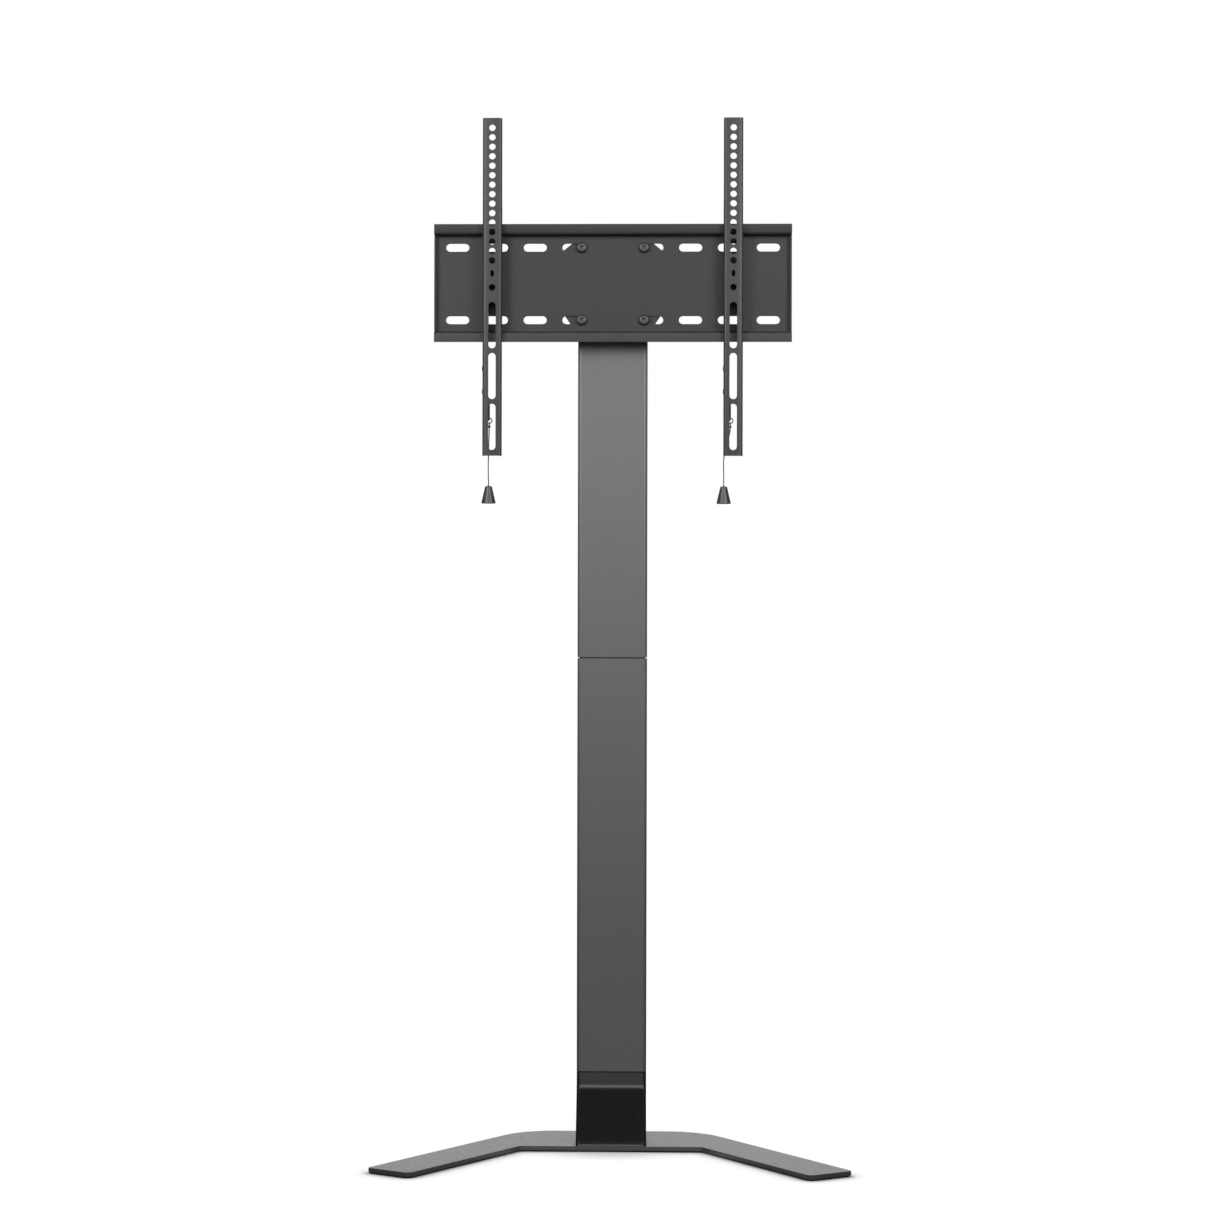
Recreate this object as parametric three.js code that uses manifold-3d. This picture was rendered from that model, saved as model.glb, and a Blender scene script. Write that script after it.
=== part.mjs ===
// Floor stand with a wall-plate style screen mount on a two-piece column.
// Millimetres, +Z up, floor at Z = 0, front towards -Y, X = 0 is the plane of symmetry.
import * as THREE from "three";
import { mergeVertices } from "three/addons/utils/BufferGeometryUtils.js";
import Module from "manifold-3d";

const wasm = await Module();
wasm.setup();

// Driving dimensions.
const barDepth = 120.5; // front to back of the middle of the base
const bendHalfWidth = 118; // from the middle to the corner where a leg turns forward
const legAngle = THREE.MathUtils.degToRad(57); // of each leg from the bar
const legInnerLength = 238; // along the inner edge of a leg
const legWidth = 65.9;
const basePlateThickness = 6;
const padHeight = 1.5;

const columnWidth = 91.6;
const columnDepth = 40;
const columnCorner = 6.5; // outer corner radius of the tubes
const tubeWall = 2;
const columnSetback = 48; // front of the bar to the front of the column
const shoeHeight = 89; // top of the base plate to the first seam
const lowerTubeLength = 544;
const upperTubeLength = 556;
const seamGap = 0.6;

const plateLength = 467;
const plateHeight = 154;
const plateDrop = 66.2; // top of the tubes to the plate's centre
const railHeight = 14;
const plateSheet = 2;
const railStandoff = 12; // web front to rail front
const armLength = 440;
const armWidth = 25;
const armRise = 214; // top of an arm above the plate's centre
const armSpacing = 314; // centre to centre
const armStandoff = 22; // web front of the plate to the face of an arm
const armSheet = 2;

// Clearances and shared small values.
const runningGap = 0.3;
const sheetBend = 2.2; // centreline radius of every fold
const cutOverrun = 1;
const sleeveGap = 0.5;
const endChamfer = 0.8;

// Numbers of facets.
const bendSteps = 3;
const cornerSteps = 4;
const roundSides = 18;
const holeSides = 12;
const screwSides = 12;
const slotSteps = 3;

const finish = (color, roughness, metalness) =>
  new THREE.MeshStandardMaterial({ color, roughness, metalness });
const columnPaint = finish(0x5c5d5e, 0.42, 0.35);
const basePaint = finish(0x6a6b6c, 0.5, 0.3);
const shoePaint = finish(0x1b1c1d, 0.35, 0.2);
const mountPaint = finish(0x55565a, 0.45, 0.35);
const zincSteel = finish(0xa9abad, 0.35, 0.9);
const blackSteel = finish(0x2b2c2e, 0.4, 0.7);
const blackPlastic = finish(0x202122, 0.4, 0);
const padRubber = finish(0x1c1c1c, 0.9, 0);
const cordFibre = finish(0x3a3a3b, 0.9, 0);

const stand = new THREE.Group();

// A closed three.js geometry as a solid that can be joined and cut.
function solid(geometry) {
  const bare = geometry.index ? geometry.toNonIndexed() : geometry.clone();
  bare.deleteAttribute("normal");
  bare.deleteAttribute("uv");
  const merged = mergeVertices(bare);
  return new wasm.Manifold(
    new wasm.Mesh({
      numProp: 3,
      vertProperties: merged.attributes.position.array,
      triVerts: new Uint32Array(merged.index.array),
    }),
  );
}

function geometryOf(shape) {
  const mesh = shape.getMesh();
  const geometry = new THREE.BufferGeometry();
  geometry.setAttribute("position", new THREE.BufferAttribute(new Float32Array(mesh.vertProperties), 3));
  geometry.setIndex(new THREE.BufferAttribute(new Uint32Array(mesh.triVerts), 1));
  geometry.computeVertexNormals();
  return geometry;
}

function addPiece(name, shape, material, holder = stand) {
  const geometry = shape.isBufferGeometry ? shape : geometryOf(shape);
  const mesh = new THREE.Mesh(geometry, material);
  mesh.name = name;
  holder.add(mesh);
  return mesh;
}

// Extrusions whose profile is drawn in two of the part's own axes.
const sideToWorld = new THREE.Matrix4().makeBasis(
  new THREE.Vector3(0, 1, 0),
  new THREE.Vector3(0, 0, 1),
  new THREE.Vector3(1, 0, 0),
);
const extrude = (shape, depth) =>
  new THREE.ExtrudeGeometry(shape, { depth, bevelEnabled: false, curveSegments: slotSteps });
// Drawn in X and Y, from z upwards.
const plan = (shape, z, height) => solid(extrude(shape, height).translate(0, 0, z));
// Drawn in X and Z, from y forwards.
const front = (shape, y, depth) =>
  solid(extrude(shape, depth).rotateX(Math.PI / 2).translate(0, y, 0));
// Drawn in Y and Z, from x to the right.
const side = (shape, x, width) =>
  solid(extrude(shape, width).applyMatrix4(sideToWorld).translate(x, 0, 0));

const box = (x0, x1, y0, y1, z0, z1) =>
  solid(
    new THREE.BoxGeometry(x1 - x0, y1 - y0, z1 - z0)
      .translate((x0 + x1) / 2, (y0 + y1) / 2, (z0 + z1) / 2),
  );

// A polygon whose corners are [x, y, radius].
function roundedOutline(corners, steps = cornerSteps) {
  const points = [];
  corners.forEach(([x, y, radius], i) => {
    const here = new THREE.Vector2(x, y);
    if (!radius) {
      points.push(here);
      return;
    }
    const before = corners[(i + corners.length - 1) % corners.length];
    const after = corners[(i + 1) % corners.length];
    const from = here.clone().sub(new THREE.Vector2(before[0], before[1])).normalize();
    const to = new THREE.Vector2(after[0], after[1]).sub(here).normalize();
    const turn = Math.atan2(from.cross(to), from.dot(to));
    const hand = Math.sign(turn);
    const reach = radius * Math.tan(Math.abs(turn) / 2);
    const start = here.clone().addScaledVector(from, -reach);
    const spoke = new THREE.Vector2(from.y, -from.x).multiplyScalar(hand * radius);
    const centre = start.clone().sub(spoke);
    for (let k = 0; k <= steps; k++)
      points.push(spoke.clone().rotateAround(new THREE.Vector2(), (turn * k) / steps).add(centre));
  });
  return new THREE.Shape(points);
}

const roundedRectangle = (width, height, radius, cx = 0, cy = 0, steps = cornerSteps) =>
  roundedOutline(
    [
      [cx - width / 2, cy - height / 2, radius],
      [cx + width / 2, cy - height / 2, radius],
      [cx + width / 2, cy + height / 2, radius],
      [cx - width / 2, cy + height / 2, radius],
    ],
    steps,
  );

// The section of a folded sheet: its centreline's corners, offset half the sheet to each hand.
function foldedSection(line, sheet, bend = sheetBend) {
  const left = [];
  const right = [];
  const at = (p) => new THREE.Vector2(p[0], p[1]);
  line.forEach((p, i) => {
    const here = at(p);
    const from = i > 0 ? here.clone().sub(at(line[i - 1])).normalize() : null;
    const to = i < line.length - 1 ? at(line[i + 1]).sub(here).normalize() : null;
    const along = from || to;
    const normal = new THREE.Vector2(-along.y, along.x);
    if (!from || !to) {
      left.push(here.clone().addScaledVector(normal, sheet / 2));
      right.push(here.clone().addScaledVector(normal, -sheet / 2));
      return;
    }
    const turn = Math.atan2(from.cross(to), from.dot(to));
    const hand = Math.sign(turn);
    const start = here.clone().addScaledVector(from, -bend * Math.tan(Math.abs(turn) / 2));
    const centre = start.clone().addScaledVector(normal, hand * bend);
    for (let k = 0; k <= bendSteps; k++) {
      const swing = (turn * k) / bendSteps;
      const spoke = normal.clone().multiplyScalar(-hand).rotateAround(new THREE.Vector2(), swing);
      left.push(centre.clone().addScaledVector(spoke, bend - (hand * sheet) / 2));
      right.push(centre.clone().addScaledVector(spoke, bend + (hand * sheet) / 2));
    }
  });
  return new THREE.Shape([...left, ...right.reverse()]);
}

// A turned piece: [radius, height] from one end of the axis to the other, round +Z.
const turned = (profile, sides = screwSides) =>
  solid(
    new THREE.LatheGeometry(profile.map(([r, h]) => new THREE.Vector2(r, h)), sides)
      .rotateX(Math.PI / 2),
  );

const circle = (radius, cx, cy, sides = holeSides) =>
  new THREE.Shape(
    Array.from({ length: sides }, (_, i) => {
      const angle = (2 * Math.PI * i) / sides;
      return new THREE.Vector2(cx + radius * Math.cos(angle), cy + radius * Math.sin(angle));
    }),
  );

// A slot with round ends, its length along the first axis or, when upright, the second.
const slot = (length, width, cx, cy, upright = false) =>
  roundedRectangle(upright ? width : length, upright ? length : width, width / 2, cx, cy, slotSteps);

const cut = (shape, ...tools) => tools.reduce((rest, tool) => rest.subtract(tool), shape);
const join = (...shapes) => shapes.reduce((whole, shape) => whole.add(shape));

// Base plate: a straight bar with a leg at each end turned forward, cut from one steel plate.
const legForward = [Math.cos(legAngle), -Math.sin(legAngle)];
const legAcross = [Math.sin(legAngle), Math.cos(legAngle)];
const legEndCorner = 5;
const legFrontCorner = 10;
const innerBendRadius = 8;
const outerBendRadius = 80;
const tipSetback = legFrontCorner * (Math.sin(legAngle) + Math.cos(legAngle) - 1);
const baseDepth = barDepth + legInnerLength * Math.sin(legAngle) - tipSetback;
const barBackY = baseDepth / 2;
const barFrontY = barBackY - barDepth;
const baseTopZ = padHeight + basePlateThickness;
const outerBendX = bendHalfWidth + (legWidth - barDepth * Math.cos(legAngle)) / Math.sin(legAngle);
const innerTip = [
  bendHalfWidth + legForward[0] * legInnerLength,
  barFrontY + legForward[1] * legInnerLength,
];
const outerTip = [innerTip[0] + legAcross[0] * legWidth, innerTip[1] + legAcross[1] * legWidth];
const rightLeg = [
  [bendHalfWidth, barFrontY, innerBendRadius],
  [...innerTip, legFrontCorner],
  [...outerTip, legEndCorner],
  [outerBendX, barBackY, outerBendRadius],
];
const leftLeg = rightLeg.map(([x, y, radius]) => [-x, y, radius]).reverse();

const columnFrontY = barFrontY + columnSetback;
const columnBackY = columnFrontY + columnDepth;
const columnY = (columnFrontY + columnBackY) / 2;

// Bolts come up through the plate into the foot spigot's flange.
const footBoltRadius = 4;
const footBoltHead = 8;
const footBoltHeadHeight = 4.2;
const footBoltX = 28;
const footBoltInset = 16; // from the flange's ends to the bolts
const flangeThickness = 5;
const flangeForwardLength = 30; // in front of the column's face
const flangeFrontY = columnFrontY - flangeForwardLength;
const flangeBackY = columnBackY - tubeWall - sleeveGap;
const footBoltReach = 6; // past the flange
const footBoltPlaces = [flangeFrontY + footBoltInset, flangeBackY - footBoltInset]
  .flatMap((y) => [[-footBoltX, y], [footBoltX, y]]);

const footBoltProfile = (grow) => [
  [0, 0],
  [footBoltHead + grow, 0],
  [footBoltRadius + grow, footBoltHeadHeight],
  [footBoltRadius + grow, basePlateThickness + flangeThickness + footBoltReach],
  [0, basePlateThickness + flangeThickness + footBoltReach],
];
const hexKeyRadius = 2.9;
const hexKeyDepth = 3;
const hexKeySides = 6;
const hexHole = (depth) =>
  turned([[0, -cutOverrun], [hexKeyRadius, -cutOverrun], [hexKeyRadius, depth], [0, depth]], hexKeySides);
const footBoltHoles = footBoltPlaces.map(([x, y]) =>
  turned(footBoltProfile(runningGap)).translate(x, y, padHeight - runningGap / 2));

const basePlate = cut(
  plan(roundedOutline([...rightLeg, ...leftLeg]), padHeight, basePlateThickness),
  ...footBoltHoles,
);
addPiece("base_plate", basePlate, basePaint);

footBoltPlaces.forEach(([x, y], i) => {
  const bolt = cut(turned(footBoltProfile(0)), hexHole(hexKeyDepth));
  addPiece("base_bolt_" + (i + 1), bolt.translate(x, y, padHeight), blackSteel);
});

// Rubber pads under the leg tips, the bends and the bar.
const padRadius = 11;
const padEdge = 0.4;
const padInset = 26; // leg tip to pad centre
const barPadX = 50;
const legMiddle = (along) => [
  bendHalfWidth + legForward[0] * along + (legAcross[0] * legWidth) / 2,
  barFrontY + legForward[1] * along + (legAcross[1] * legWidth) / 2,
];
const padPlaces = [
  legMiddle(legInnerLength - padInset),
  legMiddle(0),
  [barPadX, barBackY - padInset],
].flatMap(([x, y]) => [[-x, y], [x, y]]);
padPlaces.forEach(([x, y], i) => {
  const pad = turned([
    [0, 0],
    [padRadius - padEdge, 0],
    [padRadius, padEdge],
    [padRadius, padHeight],
    [0, padHeight],
  ]);
  addPiece("base_pad_" + (i + 1), pad.translate(x, y, 0), padRubber);
});

// Foot spigot: a steel tube welded on a flange, which the shoe hides and the lower tube slides over.
const sleeveWidth = columnWidth - 2 * tubeWall - 2 * sleeveGap;
const sleeveDepth = columnDepth - 2 * tubeWall - 2 * sleeveGap;
const sleeveWall = 2.5;
const sleeveCorner = columnCorner - tubeWall - sleeveGap;
const spigotRise = 90;
const flangeHalfWidth = 43;
const flangeCorner = 4;
const shoeTopZ = baseTopZ + shoeHeight;

const rectangularTube = (width, depth, corner, wall) => {
  const shape = roundedRectangle(width, depth, corner, 0, columnY);
  const inside = corner > wall ? corner - wall : 0;
  shape.holes.push(roundedRectangle(width - 2 * wall, depth - 2 * wall, inside, 0, columnY));
  return shape;
};

// Screws in the back of the column hold the spigot and the joining sleeve.
const backScrewRadius = 2.5;
const backScrewHead = 4.6;
const backScrewHeadHeight = 2.6;
const backScrewReach = 5; // through the tube's wall into the sleeve
const backScrewX = 25;
const backScrewKey = 1.6;
const backScrewKeyDepth = 1.5;
const headDome = 0.8;
const backScrewProfile = [
  [0, -backScrewReach - tubeWall],
  [backScrewRadius, -backScrewReach - tubeWall],
  [backScrewRadius, 0],
  [backScrewHead, 0],
  [backScrewHead, backScrewHeadHeight - headDome],
  [backScrewHead - headDome, backScrewHeadHeight],
  [0, backScrewHeadHeight],
];
const faceBack = (shape) => shape.rotate([-90, 0, 0]); // +Z to +Y
const backScrewHole = (x, z) =>
  faceBack(turned([
    [0, -backScrewReach - tubeWall - cutOverrun],
    [backScrewRadius + runningGap, -backScrewReach - tubeWall - cutOverrun],
    [backScrewRadius + runningGap, cutOverrun],
    [0, cutOverrun],
  ])).translate(x, columnBackY, z);
function addBackScrew(name, x, z) {
  const key = turned(
    [
      [0, backScrewHeadHeight - backScrewKeyDepth],
      [backScrewKey, backScrewHeadHeight - backScrewKeyDepth],
      [backScrewKey, backScrewHeadHeight + cutOverrun],
      [0, backScrewHeadHeight + cutOverrun],
    ],
    hexKeySides,
  );
  addPiece(name, faceBack(cut(turned(backScrewProfile), key)).translate(x, columnBackY, z), blackSteel);
}

const footScrewZ = shoeTopZ + spigotRise / 2;
const footScrewPlaces = [[-backScrewX, footScrewZ], [backScrewX, footScrewZ]];
const lowerTubeBottomZ = shoeTopZ + seamGap;
const seamZ = lowerTubeBottomZ + lowerTubeLength;
const upperTubeBottomZ = seamZ + seamGap;
const upperTubeTopZ = upperTubeBottomZ + upperTubeLength;
const joinerHalfHeight = 80;
const joinerScrewPlaces = [seamZ - joinerHalfHeight / 2, upperTubeBottomZ + joinerHalfHeight / 2]
  .flatMap((z) => [[-backScrewX, z], [backScrewX, z]]);

const spigotTube = plan(
  rectangularTube(sleeveWidth, sleeveDepth, sleeveCorner, sleeveWall),
  baseTopZ + flangeThickness - cutOverrun,
  shoeHeight + spigotRise - flangeThickness + cutOverrun,
);
const spigotFlange = plan(
  roundedRectangle(
    2 * flangeHalfWidth,
    flangeBackY - flangeFrontY,
    flangeCorner,
    0,
    (flangeBackY + flangeFrontY) / 2,
  ),
  baseTopZ,
  flangeThickness,
);
addPiece(
  "foot_spigot",
  cut(
    join(spigotTube, spigotFlange),
    ...footBoltHoles,
    ...footScrewPlaces.map(([x, z]) => backScrewHole(x, z)),
  ),
  zincSteel,
);

// Column: two rectangular tubes end to end.
const lowerTube = plan(
  rectangularTube(columnWidth, columnDepth, columnCorner, tubeWall),
  lowerTubeBottomZ,
  lowerTubeLength,
);
addPiece(
  "lower_tube",
  cut(lowerTube, ...[...footScrewPlaces, ...joinerScrewPlaces].map(([x, z]) => backScrewHole(x, z))),
  columnPaint,
);
const upperTube = plan(
  rectangularTube(columnWidth, columnDepth, columnCorner, tubeWall),
  upperTubeBottomZ,
  upperTubeLength,
);
addPiece(
  "upper_tube",
  cut(upperTube, ...joinerScrewPlaces.map(([x, z]) => backScrewHole(x, z))),
  columnPaint,
);

const joiner = plan(
  rectangularTube(sleeveWidth, sleeveDepth, sleeveCorner, sleeveWall),
  seamZ + seamGap / 2 - joinerHalfHeight,
  2 * joinerHalfHeight,
);
addPiece(
  "tube_joiner",
  cut(joiner, ...joinerScrewPlaces.map(([x, z]) => backScrewHole(x, z))),
  zincSteel,
);
footScrewPlaces.forEach(([x, z], i) => addBackScrew("foot_screw_" + (i + 1), x, z));
joinerScrewPlaces.forEach(([x, z], i) => addBackScrew("joiner_screw_" + (i + 1), x, z));

// Moulded cap in the top of the upper tube.
const capThickness = 3;
const capPlugDepth = 12;
const capPlug = plan(
  rectangularTube(sleeveWidth, sleeveDepth, sleeveCorner, sleeveWall),
  upperTubeTopZ - capPlugDepth,
  capPlugDepth + cutOverrun,
);
const capLid = plan(
  roundedRectangle(columnWidth, columnDepth, columnCorner, 0, columnY),
  upperTubeTopZ,
  capThickness - endChamfer,
);
const capCrown = plan(
  roundedRectangle(
    columnWidth - 2 * endChamfer,
    columnDepth - 2 * endChamfer,
    columnCorner - endChamfer,
    0,
    columnY,
  ),
  upperTubeTopZ + capThickness - 2 * endChamfer,
  2 * endChamfer,
);
addPiece("top_cap", join(capPlug, capLid, capCrown), blackPlastic);

// Foot shoe: a shell whose front sweeps down and forward from a collar as wide as the tubes.
const collarHeight = 15.5;
const shoeFrontInset = 1.5; // bar front to the shoe's toe
const toeLip = 2.4; // upright edge at the foot of the sweep
const shoeBackFlare = 4;
const shoeSideFlare = 0.2; // each side, at the base
const sweepBlendHeight = 5; // height over which the sweep turns into the collar
const shoeWall = 2;
const toeSweep = columnFrontY - (barFrontY + shoeFrontInset);
const sweepHeight = shoeHeight - collarHeight;
const sweepRun = sweepHeight - toeLip;

// How far the front stands out at a height: upright at the toe, a straight sweep, eased into the collar.
function sweepAt(height) {
  const slope = toeSweep / (sweepRun - sweepBlendHeight / 2);
  const below = Math.min(sweepHeight - height, sweepRun);
  if (below <= 0) return 0;
  if (below < sweepBlendHeight) return (slope * below * below) / (2 * sweepBlendHeight);
  return slope * (below - sweepBlendHeight / 2);
}

// Rings of points joined into a closed solid, capped at both ends.
function loft(rings) {
  const count = rings[0].length;
  const points = rings.flat();
  const faces = [];
  for (let r = 0; r < rings.length - 1; r++)
    for (let i = 0; i < count; i++) {
      const a = r * count + i;
      const b = r * count + ((i + 1) % count);
      faces.push(a, b, b + count, a, b + count, a + count);
    }
  const last = (rings.length - 1) * count;
  for (let i = 1; i < count - 1; i++) faces.push(0, i + 1, i, last, last + i, last + i + 1);
  const geometry = new THREE.BufferGeometry();
  geometry.setAttribute("position", new THREE.Float32BufferAttribute(points.flatMap((p) => p.toArray()), 3));
  geometry.setIndex(faces);
  return solid(geometry);
}

const sweepShares = [0, 0.12, 0.3, 0.5, 0.7, 0.8, 0.85, 0.9, 0.94, 0.97, 1];
function shoeSolid(inset, topExtra) {
  const heights = [0, ...sweepShares.map((share) => toeLip + share * sweepRun), shoeHeight + topExtra];
  if (topExtra) heights[0] = -topExtra;
  const rings = heights.map((height) => {
    const fall = Math.max(0, 1 - Math.max(0, height) / sweepHeight);
    const half = columnWidth / 2 + shoeSideFlare * fall * fall - inset;
    const frontY = columnFrontY - sweepAt(Math.max(0, height)) + inset;
    const backY = columnBackY + shoeBackFlare * fall * fall - inset;
    const corner = columnCorner - inset;
    return roundedRectangle(2 * half, backY - frontY, corner, 0, (backY + frontY) / 2)
      .getPoints()
      .map((p) => new THREE.Vector3(p.x, p.y, baseTopZ + height));
  });
  return loft(rings);
}
addPiece("foot_shoe", cut(shoeSolid(0, 0), shoeSolid(shoeWall, cutOverrun)), shoePaint);

// Head bracket: a folded channel hugs the column, and a pan stands off its front for the plate's nuts.
const clampSheet = 3;
const strapHeight = 60;
const clampLip = 22; // outward, for the strap's bolts
const clampBoltInset = 9; // from the lip's edge
const clampBoltRise = 18; // above and below the middle
const panStandoff = 14;
const panSheet = 3;
const rowInset = 29.6; // plate's edges to the rows of slots
const panTopMargin = 10.6; // upper row to the pan's top
const panBottomMargin = 14.6; // lower row to the pan's bottom
const panTopCut = 17; // height of the corners cut off above
const panBottomCut = 28; // and below
const panHalfWidth = 68;
const panTopHalfWidth = 47;
const panBottomHalfWidth = 49;
const panCorner = 4;
const panReturnHalfWidth = 44;
const plateRowRise = plateHeight / 2 - rowInset; // slot rows above and below the centre

const plateCentreZ = upperTubeTopZ - plateDrop;
const clampX = columnWidth / 2 + runningGap + clampSheet / 2;
const clampWebY = columnFrontY - runningGap - clampSheet / 2;
const strapFrontY = columnBackY + runningGap;
const clampLipY = strapFrontY - clampSheet / 2;
const clampEndX = clampX + clampLip;
const panBackY = clampWebY - clampSheet / 2 - panStandoff;
const panFrontY = panBackY - panSheet;
const plateWebFrontY = panFrontY - plateSheet;
const bracketBottomZ = plateCentreZ - plateRowRise - panBottomMargin;
const bracketTopZ = plateCentreZ + plateRowRise + panTopMargin;
const bracketHeight = bracketTopZ - bracketBottomZ;
const ahead = (distance) => plateWebFrontY - distance; // in front of the plate's web

// Screws of the plate, in the inner slots.
const plateBoltX = 40.6;
const plateBoltRadius = 4;
const plateBoltHead = 7;
const plateBoltHeadHeight = 4.4;
const plateBoltDome = 2;
const plateNutHeight = 6.5;
const plateNutHalf = 7.5; // to its corners
const nutChamfer = 0.6;
const boltTail = 1.5;
const plateBoltPlaces = [-plateRowRise, plateRowRise]
  .flatMap((rise) => [[-plateBoltX, plateCentreZ + rise], [plateBoltX, plateCentreZ + rise]]);
const faceFront = (shape) => shape.rotate([90, 0, 0]); // +Z to -Y
const frontHole = (radius, x, y0, y1, z) =>
  front(circle(radius, x, z), y1 + cutOverrun, y1 - y0 + 2 * cutOverrun);

const clampSection = foldedSection(
  [
    [-clampEndX, clampLipY],
    [-clampX, clampLipY],
    [-clampX, clampWebY],
    [clampX, clampWebY],
    [clampX, clampLipY],
    [clampEndX, clampLipY],
  ],
  clampSheet,
);
const panOutline = roundedOutline([
  [-panBottomHalfWidth, bracketBottomZ, panCorner],
  [panBottomHalfWidth, bracketBottomZ, panCorner],
  [panHalfWidth, bracketBottomZ + panBottomCut, panCorner],
  [panHalfWidth, bracketTopZ - panTopCut, panCorner],
  [panTopHalfWidth, bracketTopZ, panCorner],
  [-panTopHalfWidth, bracketTopZ, panCorner],
  [-panHalfWidth, bracketTopZ - panTopCut, panCorner],
  [-panHalfWidth, bracketBottomZ + panBottomCut, panCorner],
]);
const panReturn = (z) =>
  box(-panReturnHalfWidth, panReturnHalfWidth, panFrontY + panSheet / 2, clampWebY, z, z + panSheet);

const clampBoltRadius = 4;
const clampBoltHead = 6.5;
const clampBoltHeadHeight = 5;
const clampBoltX = clampEndX - clampBoltInset;
const clampBoltPlaces = [-clampBoltRise, clampBoltRise]
  .flatMap((rise) => [[-clampBoltX, plateCentreZ + rise], [clampBoltX, plateCentreZ + rise]]);
const clampLipFrontY = clampLipY - clampSheet / 2;
const lipTrim = (bracketHeight - strapHeight) / 2;
const trimLip = (x0, z0, z1) =>
  box(x0, x0 + clampLip, clampLipFrontY - cutOverrun, strapFrontY + cutOverrun, z0, z1);
const trims = [-clampEndX - cutOverrun, clampX + clampSheet].flatMap((x0) => [
  trimLip(x0, bracketBottomZ - cutOverrun, bracketBottomZ + lipTrim),
  trimLip(x0, bracketTopZ - lipTrim, bracketTopZ + cutOverrun),
]);
addPiece(
  "head_bracket",
  cut(
    join(
      plan(clampSection, bracketBottomZ, bracketHeight),
      front(panOutline, panBackY, panSheet),
      panReturn(bracketBottomZ),
      panReturn(bracketTopZ - panSheet),
    ),
    ...trims,
    ...plateBoltPlaces.map(([x, z]) =>
      frontHole(plateBoltRadius + runningGap, x, panFrontY, panBackY, z)),
    ...clampBoltPlaces.map(([x, z]) =>
      frontHole(clampBoltRadius + runningGap, x, clampLipFrontY, strapFrontY, z)),
  ),
  mountPaint,
);

const strapCorner = 6;
const strapBackY = strapFrontY + clampSheet;
const strapZ = (bracketBottomZ + bracketTopZ) / 2;
const strapOutline = roundedRectangle(2 * clampEndX, strapHeight, strapCorner, 0, strapZ);
addPiece(
  "clamp_strap",
  cut(
    front(strapOutline, strapBackY, clampSheet),
    ...clampBoltPlaces.map(([x, z]) =>
      frontHole(clampBoltRadius + runningGap, x, strapFrontY, strapBackY, z)),
  ),
  mountPaint,
);

// A screw with a socket head: the head stands on height 0 and the shank goes below it.
function socketScrew(radius, reach, head, headHeight, dome) {
  const body = turned([
    [0, -reach],
    [radius, -reach],
    [radius, 0],
    [head, 0],
    [head, headHeight - dome],
    [head - dome, headHeight],
    [0, headHeight],
  ]);
  const key = turned(
    [
      [0, headHeight - hexKeyDepth],
      [hexKeyRadius, headHeight - hexKeyDepth],
      [hexKeyRadius, headHeight + cutOverrun],
      [0, headHeight + cutOverrun],
    ],
    hexKeySides,
  );
  return cut(body, key);
}
function hexNut(bore, half, height) {
  const body = turned(
    [
      [0, 0],
      [half - nutChamfer, 0],
      [half, nutChamfer],
      [half, height - nutChamfer],
      [half - nutChamfer, height],
      [0, height],
    ],
    hexKeySides,
  );
  const hole = [[0, -cutOverrun], [bore, -cutOverrun], [bore, height + cutOverrun], [0, height + cutOverrun]];
  return cut(body, turned(hole));
}

const clampNutHeight = plateNutHeight;
const clampBoltReach = 2 * clampSheet + clampNutHeight + boltTail;
clampBoltPlaces.forEach(([x, z], i) => {
  const bolt = socketScrew(clampBoltRadius, clampBoltReach, clampBoltHead, clampBoltHeadHeight, headDome);
  addPiece("clamp_bolt_" + (i + 1), faceBack(bolt).translate(x, strapBackY, z), blackSteel);
  const nut = hexNut(clampBoltRadius + runningGap, plateNutHalf, clampNutHeight);
  addPiece("clamp_nut_" + (i + 1), faceFront(nut).translate(x, clampLipFrontY, z), zincSteel);
});

// Wall-plate: one folded sheet, a web between two rails that stand forward and turn up and down.
const slotPitch = 50.8;
const slotsPerSide = 4;
const slotLength = 30.5;
const slotWidth = 10.4;
const endFlangeDepth = 8;
const endFlangeRelief = 1.5;
const webY = plateWebFrontY + plateSheet / 2;
const railY = ahead(railStandoff) + plateSheet / 2;
const railEdge = plateHeight / 2;
const shelf = railEdge - railHeight + plateSheet / 2; // centre of the shelf that carries a rail
const plateSection = foldedSection(
  [
    [railY, plateCentreZ + railEdge],
    [railY, plateCentreZ + shelf],
    [webY, plateCentreZ + shelf],
    [webY, plateCentreZ - shelf],
    [railY, plateCentreZ - shelf],
    [railY, plateCentreZ - railEdge],
  ],
  plateSheet,
);
const endFlange = (x) =>
  box(
    x,
    x + plateSheet,
    ahead(endFlangeDepth),
    webY,
    plateCentreZ - shelf + plateSheet / 2 + endFlangeRelief,
    plateCentreZ + shelf - plateSheet / 2 - endFlangeRelief,
  );
const slotColumns = Array.from({ length: slotsPerSide }, (_, i) => (i + 1) * slotPitch)
  .flatMap((x) => [-x, x]);
const plateSlots = slotColumns.flatMap((x) =>
  [-plateRowRise, plateRowRise].map((rise) =>
    front(
      slot(slotLength, slotWidth, x, plateCentreZ + rise),
      plateWebFrontY + plateSheet + cutOverrun,
      plateSheet + 2 * cutOverrun,
    )));
addPiece(
  "wall_plate",
  cut(
    join(
      side(plateSection, -plateLength / 2, plateLength),
      endFlange(-plateLength / 2),
      endFlange(plateLength / 2 - plateSheet),
    ),
    ...plateSlots,
  ),
  mountPaint,
);

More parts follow.
